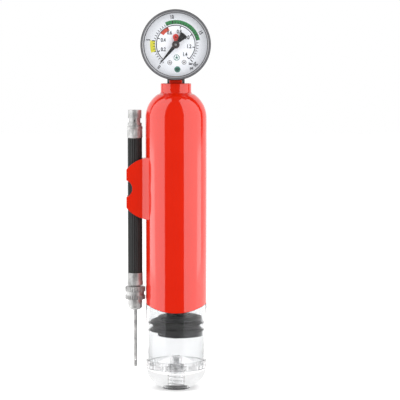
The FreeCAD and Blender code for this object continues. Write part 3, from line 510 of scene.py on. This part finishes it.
def thread(name, finish, radius_mm, low_mm, high_mm, pitch_mm, ridge_mm):
    """A thread's ridge: a round bead that winds up +Z."""
    inputs = {
        "Turns": (high_mm - low_mm) / pitch_mm,
        "Radius": radius_mm * MM,
        "Length": (high_mm - low_mm) * MM,
        "Ridge": ridge_mm * MM,
    }
    tree = Tree(name, inputs)
    values = {"Resolution": 48, "Rotations": "Turns", "Start Radius": "Radius", "End Radius": "Radius",
              "Height": "Length"}
    spiral = tree.node("GeometryNodeCurveSpiral", None, values)
    bead = tree.node("GeometryNodeCurvePrimitiveCircle", None, {"Resolution": 6, "Radius": "Ridge"})
    values = {"Curve": spiral.outputs[0], "Profile Curve": bead.outputs[0], "Fill Caps": True}
    swept = tree.node("GeometryNodeCurveToMesh", None, values)
    return placed(tree.mesh(swept.outputs[0], finish), Matrix.Translation((0, 0, low_mm * MM)))


# ---- handle, window and barrel ------------------------------------------------------------------
def edge_height(x):
    """Height of the scalloped edge between the red shell and the window, across the pump."""
    rise = EDGE_SIDE_Z - EDGE_FRONT_Z
    radius = (HANDLE_R ** 2 + rise ** 2) / (2 * rise)
    return EDGE_FRONT_Z + radius - math.sqrt(radius ** 2 - min(abs(x), HANDLE_R) ** 2)


def dome_outline():
    """The shell's outer line, from the start of its dome to the top of its neck."""
    dome_radius, dome_z, neck_r, fillet = 16.3, 157.0, 8.75, 1.6
    centre_r = HANDLE_R - dome_radius
    reach = math.acos((neck_r + fillet - centre_r) / dome_radius)
    line = arc((centre_r, dome_z), dome_radius, 0, math.degrees(reach), 22)
    line += arc((neck_r + fillet, line[-1][1] + fillet), fillet, 270, 180, 6)[1:]
    line += arc((neck_r - 0.5, NECK_TOP - 0.5), 0.5, 0, 90, 4)
    return line


def handle_shell():
    """Red shell, whose lower edge follows the scalloped joint with the window."""
    bevel, fade, neck_bore = 0.12, 9, 5.0
    above_edge = EDGE_FRONT_Z + 8.0
    outer = [(HANDLE_R - bevel, EDGE_FRONT_Z), (HANDLE_R, EDGE_FRONT_Z + bevel), (HANDLE_R, above_edge),
             (HANDLE_R, 60.0), (HANDLE_R, 105.0)]
    inner = [(neck_bore, NECK_TOP), (neck_bore, 168.0), (9.0, 163.0), (SLEEVE_BORE, 154.0),
             (SLEEVE_BORE, 60.0), (SLEEVE_BORE, above_edge), (SLEEVE_BORE, EDGE_FRONT_Z)]

    def follow_edge(r, h, angle):
        if h > EDGE_FRONT_Z + fade:
            return r, h
        share = 1 - (h - EDGE_FRONT_Z) / fade
        return r, h + (edge_height(r * math.cos(angle)) - EDGE_FRONT_Z) * max(share, 0)

    outline = outer + dome_outline() + inner
    mesh = joined("handle_shell_finished", [turned("shell", outline, 160, follow_edge), collar_tongue()])
    piece("handle_shell_finished", mesh, "red_plastic", "handle", ["handle_shell"], 40)


def collar_tongue():
    """Tongue on top of the neck, in front of the gauge's collar."""
    half_width, depth, sink, bevel = 3.6, 1.5, 0.4, 0.25
    back_y = -high("gauge_collar", 0) - 0.1
    low_z, high_z = NECK_TOP - sink, high("handle_shell", 2)
    corners = itertools.product((-half_width, half_width), (back_y - depth, back_y), (low_z, high_z))
    faces = [(0, 1, 3, 2), (4, 6, 7, 5), (0, 4, 5, 1), (2, 3, 7, 6), (0, 2, 6, 4), (1, 5, 7, 3)]
    block = mesh_from("tongue", list(corners), faces)
    with editing(block) as work:
        bmesh.ops.bevel(work, geom=work.edges, offset=bevel * MM, segments=3, affect="EDGES", profile=0.5)
    return block


def window_sleeve():
    """Clear sleeve, whose upper edge follows the scalloped joint with the shell."""
    top, bend_z = EDGE_FRONT_Z - 0.06, 30.0
    outline = rounded([
        (SLEEVE_BORE, SEAM_Z, 0.2), (HANDLE_R, SEAM_Z, 0.35), (HANDLE_R, bend_z), (HANDLE_R, top, 0.12),
        (SLEEVE_BORE, top, 0.12), (SLEEVE_BORE, bend_z),
    ], 0)

    def follow_edge(r, h, angle):
        share = max(h - bend_z, 0) / (top - bend_z)
        return r, h + (edge_height(r * math.cos(angle)) - EDGE_FRONT_Z) * share

    mesh = turned("window_sleeve_finished", outline, 160, follow_edge)
    piece("window_sleeve_finished", mesh, "clear_plastic", "handle", ["window_sleeve"], 40)


def barrel_tube():
    outline = rounded([(CHAMBER_R, BARREL_LOW), (BARREL_R, BARREL_LOW), (BARREL_R, BARREL_HIGH),
                       (CHAMBER_R, BARREL_HIGH)], 0.2)
    mesh = turned("barrel_tube_finished", outline, 128)
    piece("barrel_tube_finished", mesh, "barrel_plastic", "barrel", ["barrel_tube"], 40)


def end_cap():
    """The solid clear cap, with its domed top, gasket groove, threaded outlet and valve room."""
    foot_r, thread_r, boss_r, groove_r, valve_r = 8.3, 3.9, 4.9, 6.4, 2.9
    thread_top, thread_start, floor_z, groove_top, corner_r = 12.0, 0.3, 0.4, 4.3, 12.3
    plug_r, plug_edge_z, plug_top_z = 12.0, 14.5, high("end_cap", 2)
    rise = plug_top_z - plug_edge_z
    sphere = (plug_r ** 2 + rise ** 2) / (2 * rise)
    sphere_z = plug_top_z - sphere
    outline = [(thread_r + thread_start, 0), (boss_r - 0.1, 0), (boss_r, 0.1), (boss_r, groove_top),
               (groove_r, groove_top), (groove_r, 0.2), (groove_r + 0.2, 0), (foot_r - 0.25, 0),
               (foot_r, 0.2), (foot_r + 0.35, floor_z)]
    outline += arc((HANDLE_R - corner_r, floor_z + corner_r), corner_r, -72, 0, 20)
    outline += [(HANDLE_R, SEAM_Z - 0.3), (HANDLE_R - 0.3, SEAM_Z), (BARREL_R, SEAM_Z),
                (BARREL_R, BARREL_LOW), (CHAMBER_R, BARREL_LOW), (CHAMBER_R, plug_edge_z),
                (plug_r, plug_edge_z)]
    edge_deg = math.degrees(math.asin(plug_r / sphere))
    valve_deg = math.degrees(math.asin(valve_r / sphere))
    outline += arc((0, sphere_z), sphere, 90 - edge_deg, 90 - valve_deg, 12)[1:]
    outline += [(valve_r, thread_top), (thread_r, thread_top), (thread_r, thread_start)]
    mesh = turned("end_cap_finished", outline, 128)
    piece("end_cap_finished", mesh, "cap_plastic", "barrel", ["end_cap"], 30)
    ridge = thread("outlet_thread_ridge", "cap_plastic", thread_r - 0.02, 4.5, thread_top - 0.4,
                   pitch_mm=1.6, ridge_mm=0.24)
    piece("outlet_thread_ridge", ridge, "cap_plastic", "barrel", slot="clear_plastic")


def outlet_gasket():
    """Rubber ring round the outlet, with a groove at mid height."""
    inner, outer = 4.95, (high("outlet_gasket", 0) - low("outlet_gasket", 0)) / 2
    low_z, high_z = low("outlet_gasket", 2), high("outlet_gasket", 2)
    middle_z = (low_z + high_z) / 2
    groove_r = outer - 0.9
    outline = rounded([
        (inner, low_z), (outer, low_z), (outer, middle_z - 0.5), (groove_r, middle_z - 0.25),
        (groove_r, middle_z + 0.25), (outer, middle_z + 0.5), (outer, high_z), (inner, high_z),
    ], 0.15, 3)
    mesh = turned("outlet_gasket_finished", outline, 96)
    piece("outlet_gasket_finished", mesh, "seal_rubber", "barrel", ["outlet_gasket"], 40)


def piston():
    """Piston, rod and gland, with a seal whose two lips press into the barrel's wall."""
    edges = {"piston_core": 0.25, "piston_rod": 0.2, "piston_screw": 0.12, "rod_gland": 0.2}
    for node, edge in edges.items():
        refined(node, edge)
    lip_press = 0.1
    outer = CHAMBER_R + lip_press
    low_z, high_z = low("piston_seal", 2), high("piston_seal", 2)
    hub, groove_r = 8.0, outer - 1.7
    outline = rounded([
        (hub, low_z, 0), (outer - 0.9, low_z), (outer, low_z + 0.5), (outer, low_z + 1.7),
        (groove_r, low_z + 2.6),
        (groove_r, high_z - 2.6), (outer, high_z - 1.7), (outer, high_z - 0.5), (outer - 0.9, high_z),
        (hub, high_z, 0),
    ], 0.12, 3)
    mesh = turned("piston_seal_finished", outline, 128)
    piece("piston_seal_finished", mesh, "seal_rubber", "handle", ["piston_seal"], 40)


# ---- hose, fittings, nut and needle -------------------------------------------------------------
def hose():
    """Ribbed rubber hose: a core with fine rounded ribs along it."""
    radius = (high("hose", 0) - low("hose", 0)) / 2
    low_z, high_z = low("hose", 2), high("hose", 2)
    rib, ribs, bore = 0.42, 22, 2.0
    valley = radius - rib
    core = turned("hose_core", [(bore, low_z), (valley, low_z), (valley, high_z), (bore, high_z)], 96)
    size = (rib, 10, high_z - low_z - 0.02)
    row = round_row("hose_ribs", "hose_rubber", ribs, valley, 0, 360 / ribs, size,
                    (low_z + high_z) / 2, rod=True)
    mesh = placed(joined("hose_finished", [core, row]), HOSE_AT)
    piece("hose_finished", mesh, "hose_rubber", "hose", ["hose"])


def upper_ferrule():
    """Crimped shell: eight flat crimps below a rolled shoulder."""
    radius = (high("upper_ferrule", 0) - low("upper_ferrule", 0)) / 2
    low_z, high_z = low("upper_ferrule", 2), high("upper_ferrule", 2)
    bore, tail = 4.15, 1.5
    outline = [(bore, low_z), (radius - 0.25, low_z), (radius - 0.05, low_z + 0.3),
               (radius - 0.1, low_z + 1.2)]
    outline += [(radius - 0.1, low_z + 1.2 + 0.5 * step) for step in range(1, 7)]
    outline += [(radius - 0.2, high_z - 2.3), (radius, high_z - 1.9), (radius, high_z - 0.7),
                (radius - 0.2, high_z - 0.25), (radius - 0.7, high_z), (tail, high_z), (tail, high_z - 1),
                (bore, high_z - 1)]
    crimp_low, crimp_high = low_z + 1.3, high_z - 2.2

    def crimped(r, h, angle):
        if r < bore + 0.05 or not crimp_low < h < crimp_high:
            return r, h
        flat = math.cos(math.pi / 8) / math.cos((angle % (math.pi / 4)) - math.pi / 8)
        return max(r * flat * 0.995, bore + 0.04), h

    mesh = placed(turned("upper_ferrule_finished", outline, 128, crimped), HOSE_AT)
    piece("upper_ferrule_finished", mesh, "plated_steel", "hose", ["upper_ferrule"], 18)


def outlet_fitting():
    """Turned end with a ring, a waist with its relief hole, and the male thread."""
    refined("outlet_fitting", 0.18)
    thread_r = (high("outlet_fitting", 0) - low("outlet_fitting", 0)) / 2 - 0.15
    top = high("outlet_fitting", 2)
    ridge = thread("hose_thread_ridge", "plated_steel", thread_r - 0.05, top - 4.4, top - 0.5,
                   pitch_mm=0.8, ridge_mm=0.14)
    piece("hose_thread_ridge", placed(ridge, HOSE_AT), "plated_steel", "hose", slot="plated_steel")


def lower_ferrule():
    refined("lower_ferrule", 0.15)


def hose_nut():
    """Nut with two knurled rings and a plain groove between them."""
    outer = (high("hose_nut", 0) - low("hose_nut", 0)) / 2
    low_z, high_z = low("hose_nut", 2), high("hose_nut", 2)
    tooth, waist, teeth = 0.4, outer - 0.65, 30
    rings = ((low_z, low_z + 2.6), (high_z - 3.1, high_z))
    bore_low, bore_high, roof = 4.05, 2.95, 1.6
    base = outer - tooth
    outline = rounded([
        (bore_high, high_z, 0.1), (base, high_z, 0.35), (base, rings[1][0], 0.1), (waist, rings[1][0], 0.1),
        (waist, rings[0][1], 0.1), (base, rings[0][1], 0.1), (base, low_z, 0.35), (bore_low, low_z, 0.1),
        (bore_low, high_z - roof, 0.05), (bore_high, high_z - roof, 0.05),
    ], 0.1, 3)
    parts = [turned("hose_nut_body", outline, 96)]
    for bottom, top in rings:
        size = (tooth, 8, top - bottom - 0.5)
        parts.append(round_row("nut_knurl", "plated_steel", teeth, base - 0.02, 0, 360 / teeth, size,
                               (bottom + top) / 2, rod=True))
    mesh = placed(joined("hose_nut_finished", parts), HOSE_AT)
    piece("hose_nut_finished", mesh, "plated_steel", "nut", ["hose_nut"], 30)


def needle():
    """Needle, with a fine knurl round its head."""
    refined("needle", 0.1)
    shank_length, knurl_above_head, knurl_r, teeth = 34.7, 2.6, 3.92, 30
    size = (0.16, 6, 2.4)
    knurl_z = low("needle", 2) + shank_length + knurl_above_head
    knurl = round_row("needle_knurl", "plated_steel", teeth, knurl_r, 0, 12, size, knurl_z, rod=True)
    piece("needle_knurl", placed(knurl, HOSE_AT), "plated_steel", "needle", slot="plated_steel")


# ---- gauge --------------------------------------------------------------------------------------
def gauge_bezel():
    """Rolled rim with a shallow step inside its outer roll."""
    front = -BEZEL_FRONT
    inner_r, step_r = BEZEL_R - BEZEL_LIP, BEZEL_R - 0.62
    outline = [(inner_r, front - 0.9), (inner_r, front - 0.45), (inner_r + 0.1, front - 0.3)]
    outline += [(step_r - 0.1, front - 0.12), (step_r, front - 0.22), (step_r + 0.08, front - 0.05)]
    outline += arc((BEZEL_R - 0.5, front - 0.5), 0.5, 85, 0, 6)
    outline += [(BEZEL_R, front - 3.75), (BEZEL_R - 0.25, front - 4.0), (inner_r, front - 4.0)]
    mesh = placed(turned("gauge_bezel_finished", outline, 160), GAUGE_AT)
    piece("gauge_bezel_finished", mesh, "rim_steel", "handle", ["gauge_bezel"], 50)


def gauge_case():
    refined("gauge_case", 0.45, steps=3)
    refined("gauge_collar", 0.3)


def flat_print(name, finish, meshes, lift=0.02):
    """Ink on the dial: flat meshes drawn in the gauge's plane, just proud of the dial."""
    flat = joined(name, meshes)
    front = Matrix.Translation((0, 0, (-DIAL_FRONT + lift) * MM))
    piece(name, placed(placed(flat, front), GAUGE_AT), finish, "handle", slot="dial_paint")


def band(inner, outer, start_deg, end_deg, steps=48):
    """A flat arc, as ink with a small thickness."""
    points, faces = [], []
    for step in range(steps + 1):
        turn = math.radians(start_deg + (end_deg - start_deg) * step / steps)
        for radius in (inner, outer):
            for depth in (0.0, 0.02):
                points.append((radius * math.cos(turn), radius * math.sin(turn), depth))
    for step in range(steps):
        a, b = 4 * step, 4 * (step + 1)
        faces += [(a, b, b + 2, a + 2), (a + 1, a + 3, b + 3, b + 1),
                  (a, a + 1, b + 1, b), (a + 2, b + 2, b + 3, a + 3)]
    faces += [(0, 2, 3, 1), (4 * steps, 4 * steps + 1, 4 * steps + 3, 4 * steps + 2)]
    return mesh_from("band", points, faces)


def word(text, size_mm, radius_mm, angle_deg, lean_deg=0.0):
    """A generic scale number or unit, centred at a place on the dial."""
    curve = bpy.data.curves.new("word", "FONT")
    curve.body = text
    curve.size = size_mm * MM
    curve.align_x = "CENTER"
    curve.align_y = "CENTER"
    curve.extrude = 0.01 * MM
    curve.offset = size_mm * 0.032 * MM
    scratch = bpy.data.objects.new("scratch", curve)
    bpy.context.scene.collection.objects.link(scratch)
    mesh = baked(scratch)
    turn = math.radians(angle_deg)
    place = Vector((radius_mm * math.cos(turn), radius_mm * math.sin(turn), 0.01)) * MM
    narrow = Matrix.Diagonal((0.84, 1.08, 1.0, 1.0))
    return placed(mesh, Matrix.Translation(place) @ Matrix.Rotation(math.radians(lean_deg), 4, "Z") @ narrow)


def ticks(name, finish, count, first_deg, step_deg, inner, outer, width):
    size = (outer - inner, width, 0.02)
    return round_row(name, finish, count, (inner + outer) / 2, first_deg, step_deg, size, 0.01)


def dial_scales():
    """Two scales, bar inside and psi outside, with their ticks and coloured bands."""
    inner_scale = {"0.2": 201, "0.4": 160, "0.6": 118, "0.8": 75, "1.0": 32, "1.2": -8, "1.4": -47}
    outer_scale = {"0": 233, "5": 170, "10": 98, "15": 26, "20": -45}
    text_mm, unit_mm, bar_text_r, psi_text_r, zero_deg = 2.7, 2.1, 7.6, 15.7, 230
    black = [band(10.8, 11.25, -47, zero_deg, 120), band(11.75, 11.9, -45, zero_deg, 120)]
    black.append(ticks("outer_ticks", "print_black", 40, 234.6, -7.18, 11.9, 13.0, 0.36))
    black.append(ticks("outer_long_ticks", "print_black", 4, 170, -71.8, 11.9, 13.6, 0.5))
    black.append(ticks("inner_zero_tick", "print_black", 1, zero_deg, 0, 9.7, 11.0, 0.5))
    for text, angle in inner_scale.items():
        black.append(ticks("inner_tick", "print_black", 1, angle, 0, 9.6, 11.0, 0.5))
        black.append(word(text, text_mm, bar_text_r, angle))
    for text, angle in outer_scale.items():
        black.append(word(text, text_mm, psi_text_r, angle, angle - 90))
    black.append(word("bar", unit_mm, 13.7, -51.5))
    black.append(word("psi", unit_mm, 16.0, -56))
    flat_print("dial_scales", "print_black", black, lift=0.05)
    flat_print("dial_green_band", "print_green", [band(11.9, 14.0, 11.6, 116)])
    flat_print("dial_yellow_band", "print_yellow", [band(12.0, 14.7, 170, 198)])
    flat_print("dial_red_band", "print_red", [band(8.8, 10.9, 114, 143)])


def ball_icon(x, y, radius):
    """A small generic ball: a ring, a centre patch and three seams."""
    shift = Matrix.Translation((x * MM, y * MM, 0))
    parts = [band(radius - 0.34, radius, 0, 360, 32), band(0, radius * 0.34, 0, 360, 12)]
    parts.append(ticks("ball_seams", "print_grey", 5, 90, 72, radius * 0.3, radius * 0.95, 0.26))
    return [placed(mesh, shift) for mesh in parts]


def dial_icons():
    """Three generic ball marks and a dot."""
    flat_print("dial_ball_marks", "print_grey", ball_icon(-3.5, -10.2, 1.35) + ball_icon(4.7, -10.0, 1.35))
    flat_print("dial_ball_mark_centre", "print_teal", ball_icon(0.5, -7.3, 1.75))
    disc = placed(band(0, 1.75, 0, 360, 40), Matrix.Translation((0.9 * MM, -14.0 * MM, 0)))
    flat_print("dial_dot", "print_teal", [disc])


def dial():
    """Dial plate with everything printed on it."""
    hole_r, front, back = 1.2, -DIAL_FRONT, -DIAL_FRONT - 0.6
    outline = rounded([(hole_r, back), (DIAL_R, back), (DIAL_R, front), (hole_r, front)], 0.1, 2)
    mesh = placed(turned("dial_plate_finished", outline, 128), GAUGE_AT)
    piece("dial_plate_finished", mesh, "dial_paint", "handle", ["dial_plate"])
    dial_scales()
    dial_icons()


def marker_notch():
    """Small dark triangle on the red marker's head: painted shade, a flat sheet in a darker copy of the
    marker's red, standing in for the shadow in a notch pressed into it.
    """
    head_z = high("set_marker", 2) - GAUGE_Z - 1.7
    front = -low("set_marker", 1)
    outline = [(0.75, head_z - 0.5), (0, head_z + 0.7), (-0.75, head_z - 0.5)]
    points = [(x, y, front + depth) for depth in (-0.02, 0.02) for x, y in outline]
    faces = [(0, 2, 1), (3, 4, 5), (0, 1, 4, 3), (1, 2, 5, 4), (2, 0, 3, 5)]
    mesh = placed(mesh_from("marker_notch", points, faces), GAUGE_AT)
    piece("marker_notch", mesh, "marker_shade", BODY_OF["set_marker"], slot="marker_paint")


def hands():
    """Pointer with its hub and pin, and the red set marker."""
    refined("pointer", 0.08)
    refined("set_marker", 0.1)
    hub_r = high("pointer_hub", 0)
    front = -low("pointer_hub", 1)
    back = -high("pointer_hub", 1)
    outline = [(0, back), (hub_r, back), (hub_r, front - 0.35), (hub_r - 0.15, front - 0.12),
               (hub_r - 0.5, front), (1.1, front), (0.95, front - 0.2), (0.6, front - 0.25), (0, front - 0.1)]
    mesh = placed(turned("pointer_hub_finished", outline, 64), GAUGE_AT)
    piece("pointer_hub_finished", mesh, "hub_steel", "pointer", ["pointer_hub"])
    dome = [(0, front - 0.35), (0.75, front - 0.35), (0.7, front - 0.12), (0.4, front - 0.02), (0, front)]
    pin = placed(turned("hub_pin", dome, 48), GAUGE_AT)
    piece("hub_pin", pin, "bright_steel", "pointer", slot="bright_steel")
    marker_notch()


def lens():
    refined("gauge_lens", 0.2)


def valve_spring():
    """The valve's spring, in a mesh of its own; it shortens towards its lower end as the poppet opens, which
    this code does not model.
    """
    mesh = NODES["valve_spring"].data.copy()
    with editing(mesh) as work:
        bmesh.ops.remove_doubles(work, verts=work.verts, dist=CAD_WELD_M)
    spring = piece("valve_spring_finished", mesh, "spring_wire", "barrel", ["valve_spring"])
    joint = next(row for row in frame["record"]["behaviour"]["joints"] if row["name"] == "valve_slide")
    fixed_z = joint["deforming_nodes"][0]["fixed_end_z_m"]
    keep = 1 - joint["range_m"][1] / (high("valve_spring", 2) * MM - fixed_z)
    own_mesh(spring)


def inner_works():
    """Pieces that are small or inside keep their own shape, with softened edges."""
    outlet_gasket()
    small = ("nut_gasket", "gauge_stem", "bourdon_tip", "tip_link", "movement_front_plate",
             "movement_back_plate", "movement_post", "movement_screws", "sector_arbor")
    for node in small:
        refined(node, 0.06, steps=1)
    for node in ("valve_seat", "spring_stop", "valve_poppet"):
        refined(node, 0.06, steps=1, finish="frosted_plastic")
    valve_spring()
    for node in ("bourdon_tube", "sector_gear", "pinion_arbor", "hairspring"):
        mesh = NODES[node].data
        mesh.materials.clear()
        mesh.materials.append(FINISHES[SLOT_OF[node]])


# ---- floor, light and camera --------------------------------------------------------------------
def panel(name, size, place, target, strength):
    """A large soft light facing a point."""
    light = bpy.data.lights.new(name, "AREA")
    light.shape = "RECTANGLE"
    light.size, light.size_y = size
    light.energy = strength
    obj = bpy.data.objects.new(name, light)
    bpy.context.scene.collection.objects.link(obj)
    obj.location = place
    obj.rotation_euler = (Vector(target) - Vector(place)).to_track_quat("-Z", "Y").to_euler()


def paper_floor():
    """Pale paper that meets the white background without a horizon and stops just before the pump."""
    side, front, back = 3000, -60, 3000
    corners = [(-side, front, 0), (side, front, 0), (side, back, 0), (-side, back, 0)]
    floor = bpy.data.objects.new("floor", mesh_from("floor", corners, [(0, 1, 2, 3)], outwards=False))
    bpy.context.scene.collection.objects.link(floor)
    paper = Finish("floor_paper", Specular_IOR_Level=0.1, Emission_Strength=0.25)
    paper.surface.inputs["Emission Color"].default_value = (1, 1, 1, 1)
    paper.colour((0.93, 0.93, 0.93), (0.95, 0.95, 0.95), paper.noise(3.0))
    paper.rough(0.9 + 0.05 * paper.noise(30.0))
    floor.data.materials.append(paper.material)


def white_room():
    """White all round for soft light; shiny surfaces see a dark front and a white back wall."""
    world = bpy.data.worlds.new("studio")
    world.use_nodes = True
    bpy.context.scene.world = world
    nodes, links = world.node_tree.nodes, world.node_tree.links
    split = nodes.new("ShaderNodeSeparateXYZ")
    links.new(nodes.new("ShaderNodeTexCoord").outputs["Generated"], split.inputs[0])
    ramp = nodes.new("ShaderNodeValToRGB")
    links.new(split.outputs["Y"], ramp.inputs[0])
    for element, position, level in zip(ramp.color_ramp.elements, (0.48, 0.54), (0.04, 1.0)):
        element.position = position
        element.color = (level, level, level, 1)
    path = nodes.new("ShaderNodeLightPath")
    colour = ramp.outputs["Color"]
    for kind, level in (("Is Diffuse Ray", 0.80), ("Is Transmission Ray", 0.93), ("Is Camera Ray", 1.0)):
        mix = nodes.new("ShaderNodeMix")
        mix.data_type = "RGBA"
        links.new(path.outputs[kind], mix.inputs["Factor"])
        links.new(colour, mix.inputs[6])
        mix.inputs[7].default_value = (level, level, level, 1)
        colour = mix.outputs[2]
    links.new(colour, nodes["Background"].inputs["Color"])


def softboxes():
    """Two tall panels, one on each side, each between two directions measured from the front."""
    reach, low_z, high_z, radiance = 0.5, -0.5, 2.2, 1.5
    for side, start, end in ((-1, 42, 114), (1, 30, 108)):
        half_turn = math.radians(end - start) / 2
        facing = math.radians(start + end) / 2
        width = 2 * reach * math.tan(half_turn)
        height, centre = high_z - low_z, (high_z + low_z) / 2
        place = Vector((side * reach * math.sin(facing), -reach * math.cos(facing), centre))
        panel(f"softbox_{side}", (width, height), place, (0, 0, centre), radiance * math.pi * width * height)


def studio():
    paper_floor()
    white_room()
    softboxes()


def camera():
    lens_mm, sensor_mm, centre_x = 162, 36, 0.0138
    eye = bpy.data.cameras.new("camera")
    eye.lens = lens_mm
    eye.sensor_width = sensor_mm
    obj = bpy.data.objects.new("camera", eye)
    bpy.context.scene.collection.objects.link(obj)
    place = Vector((centre_x, -1.035, 0.199))
    aim = Vector((centre_x, 0, 0.1095))
    obj.location = place
    obj.rotation_euler = (aim - place).to_track_quat("-Z", "Y").to_euler()
    bpy.context.scene.camera = obj


camera()
studio()
handle_shell()
window_sleeve()
barrel_tube()
end_cap()
piston()
refined("hose_clip", 0.35, steps=3)
hose()
upper_ferrule()
outlet_fitting()
lower_ferrule()
hose_nut()
needle()
gauge_bezel()
gauge_case()
dial()
hands()
lens()
inner_works()
bpy.context.scene.view_settings.view_transform = "Standard"
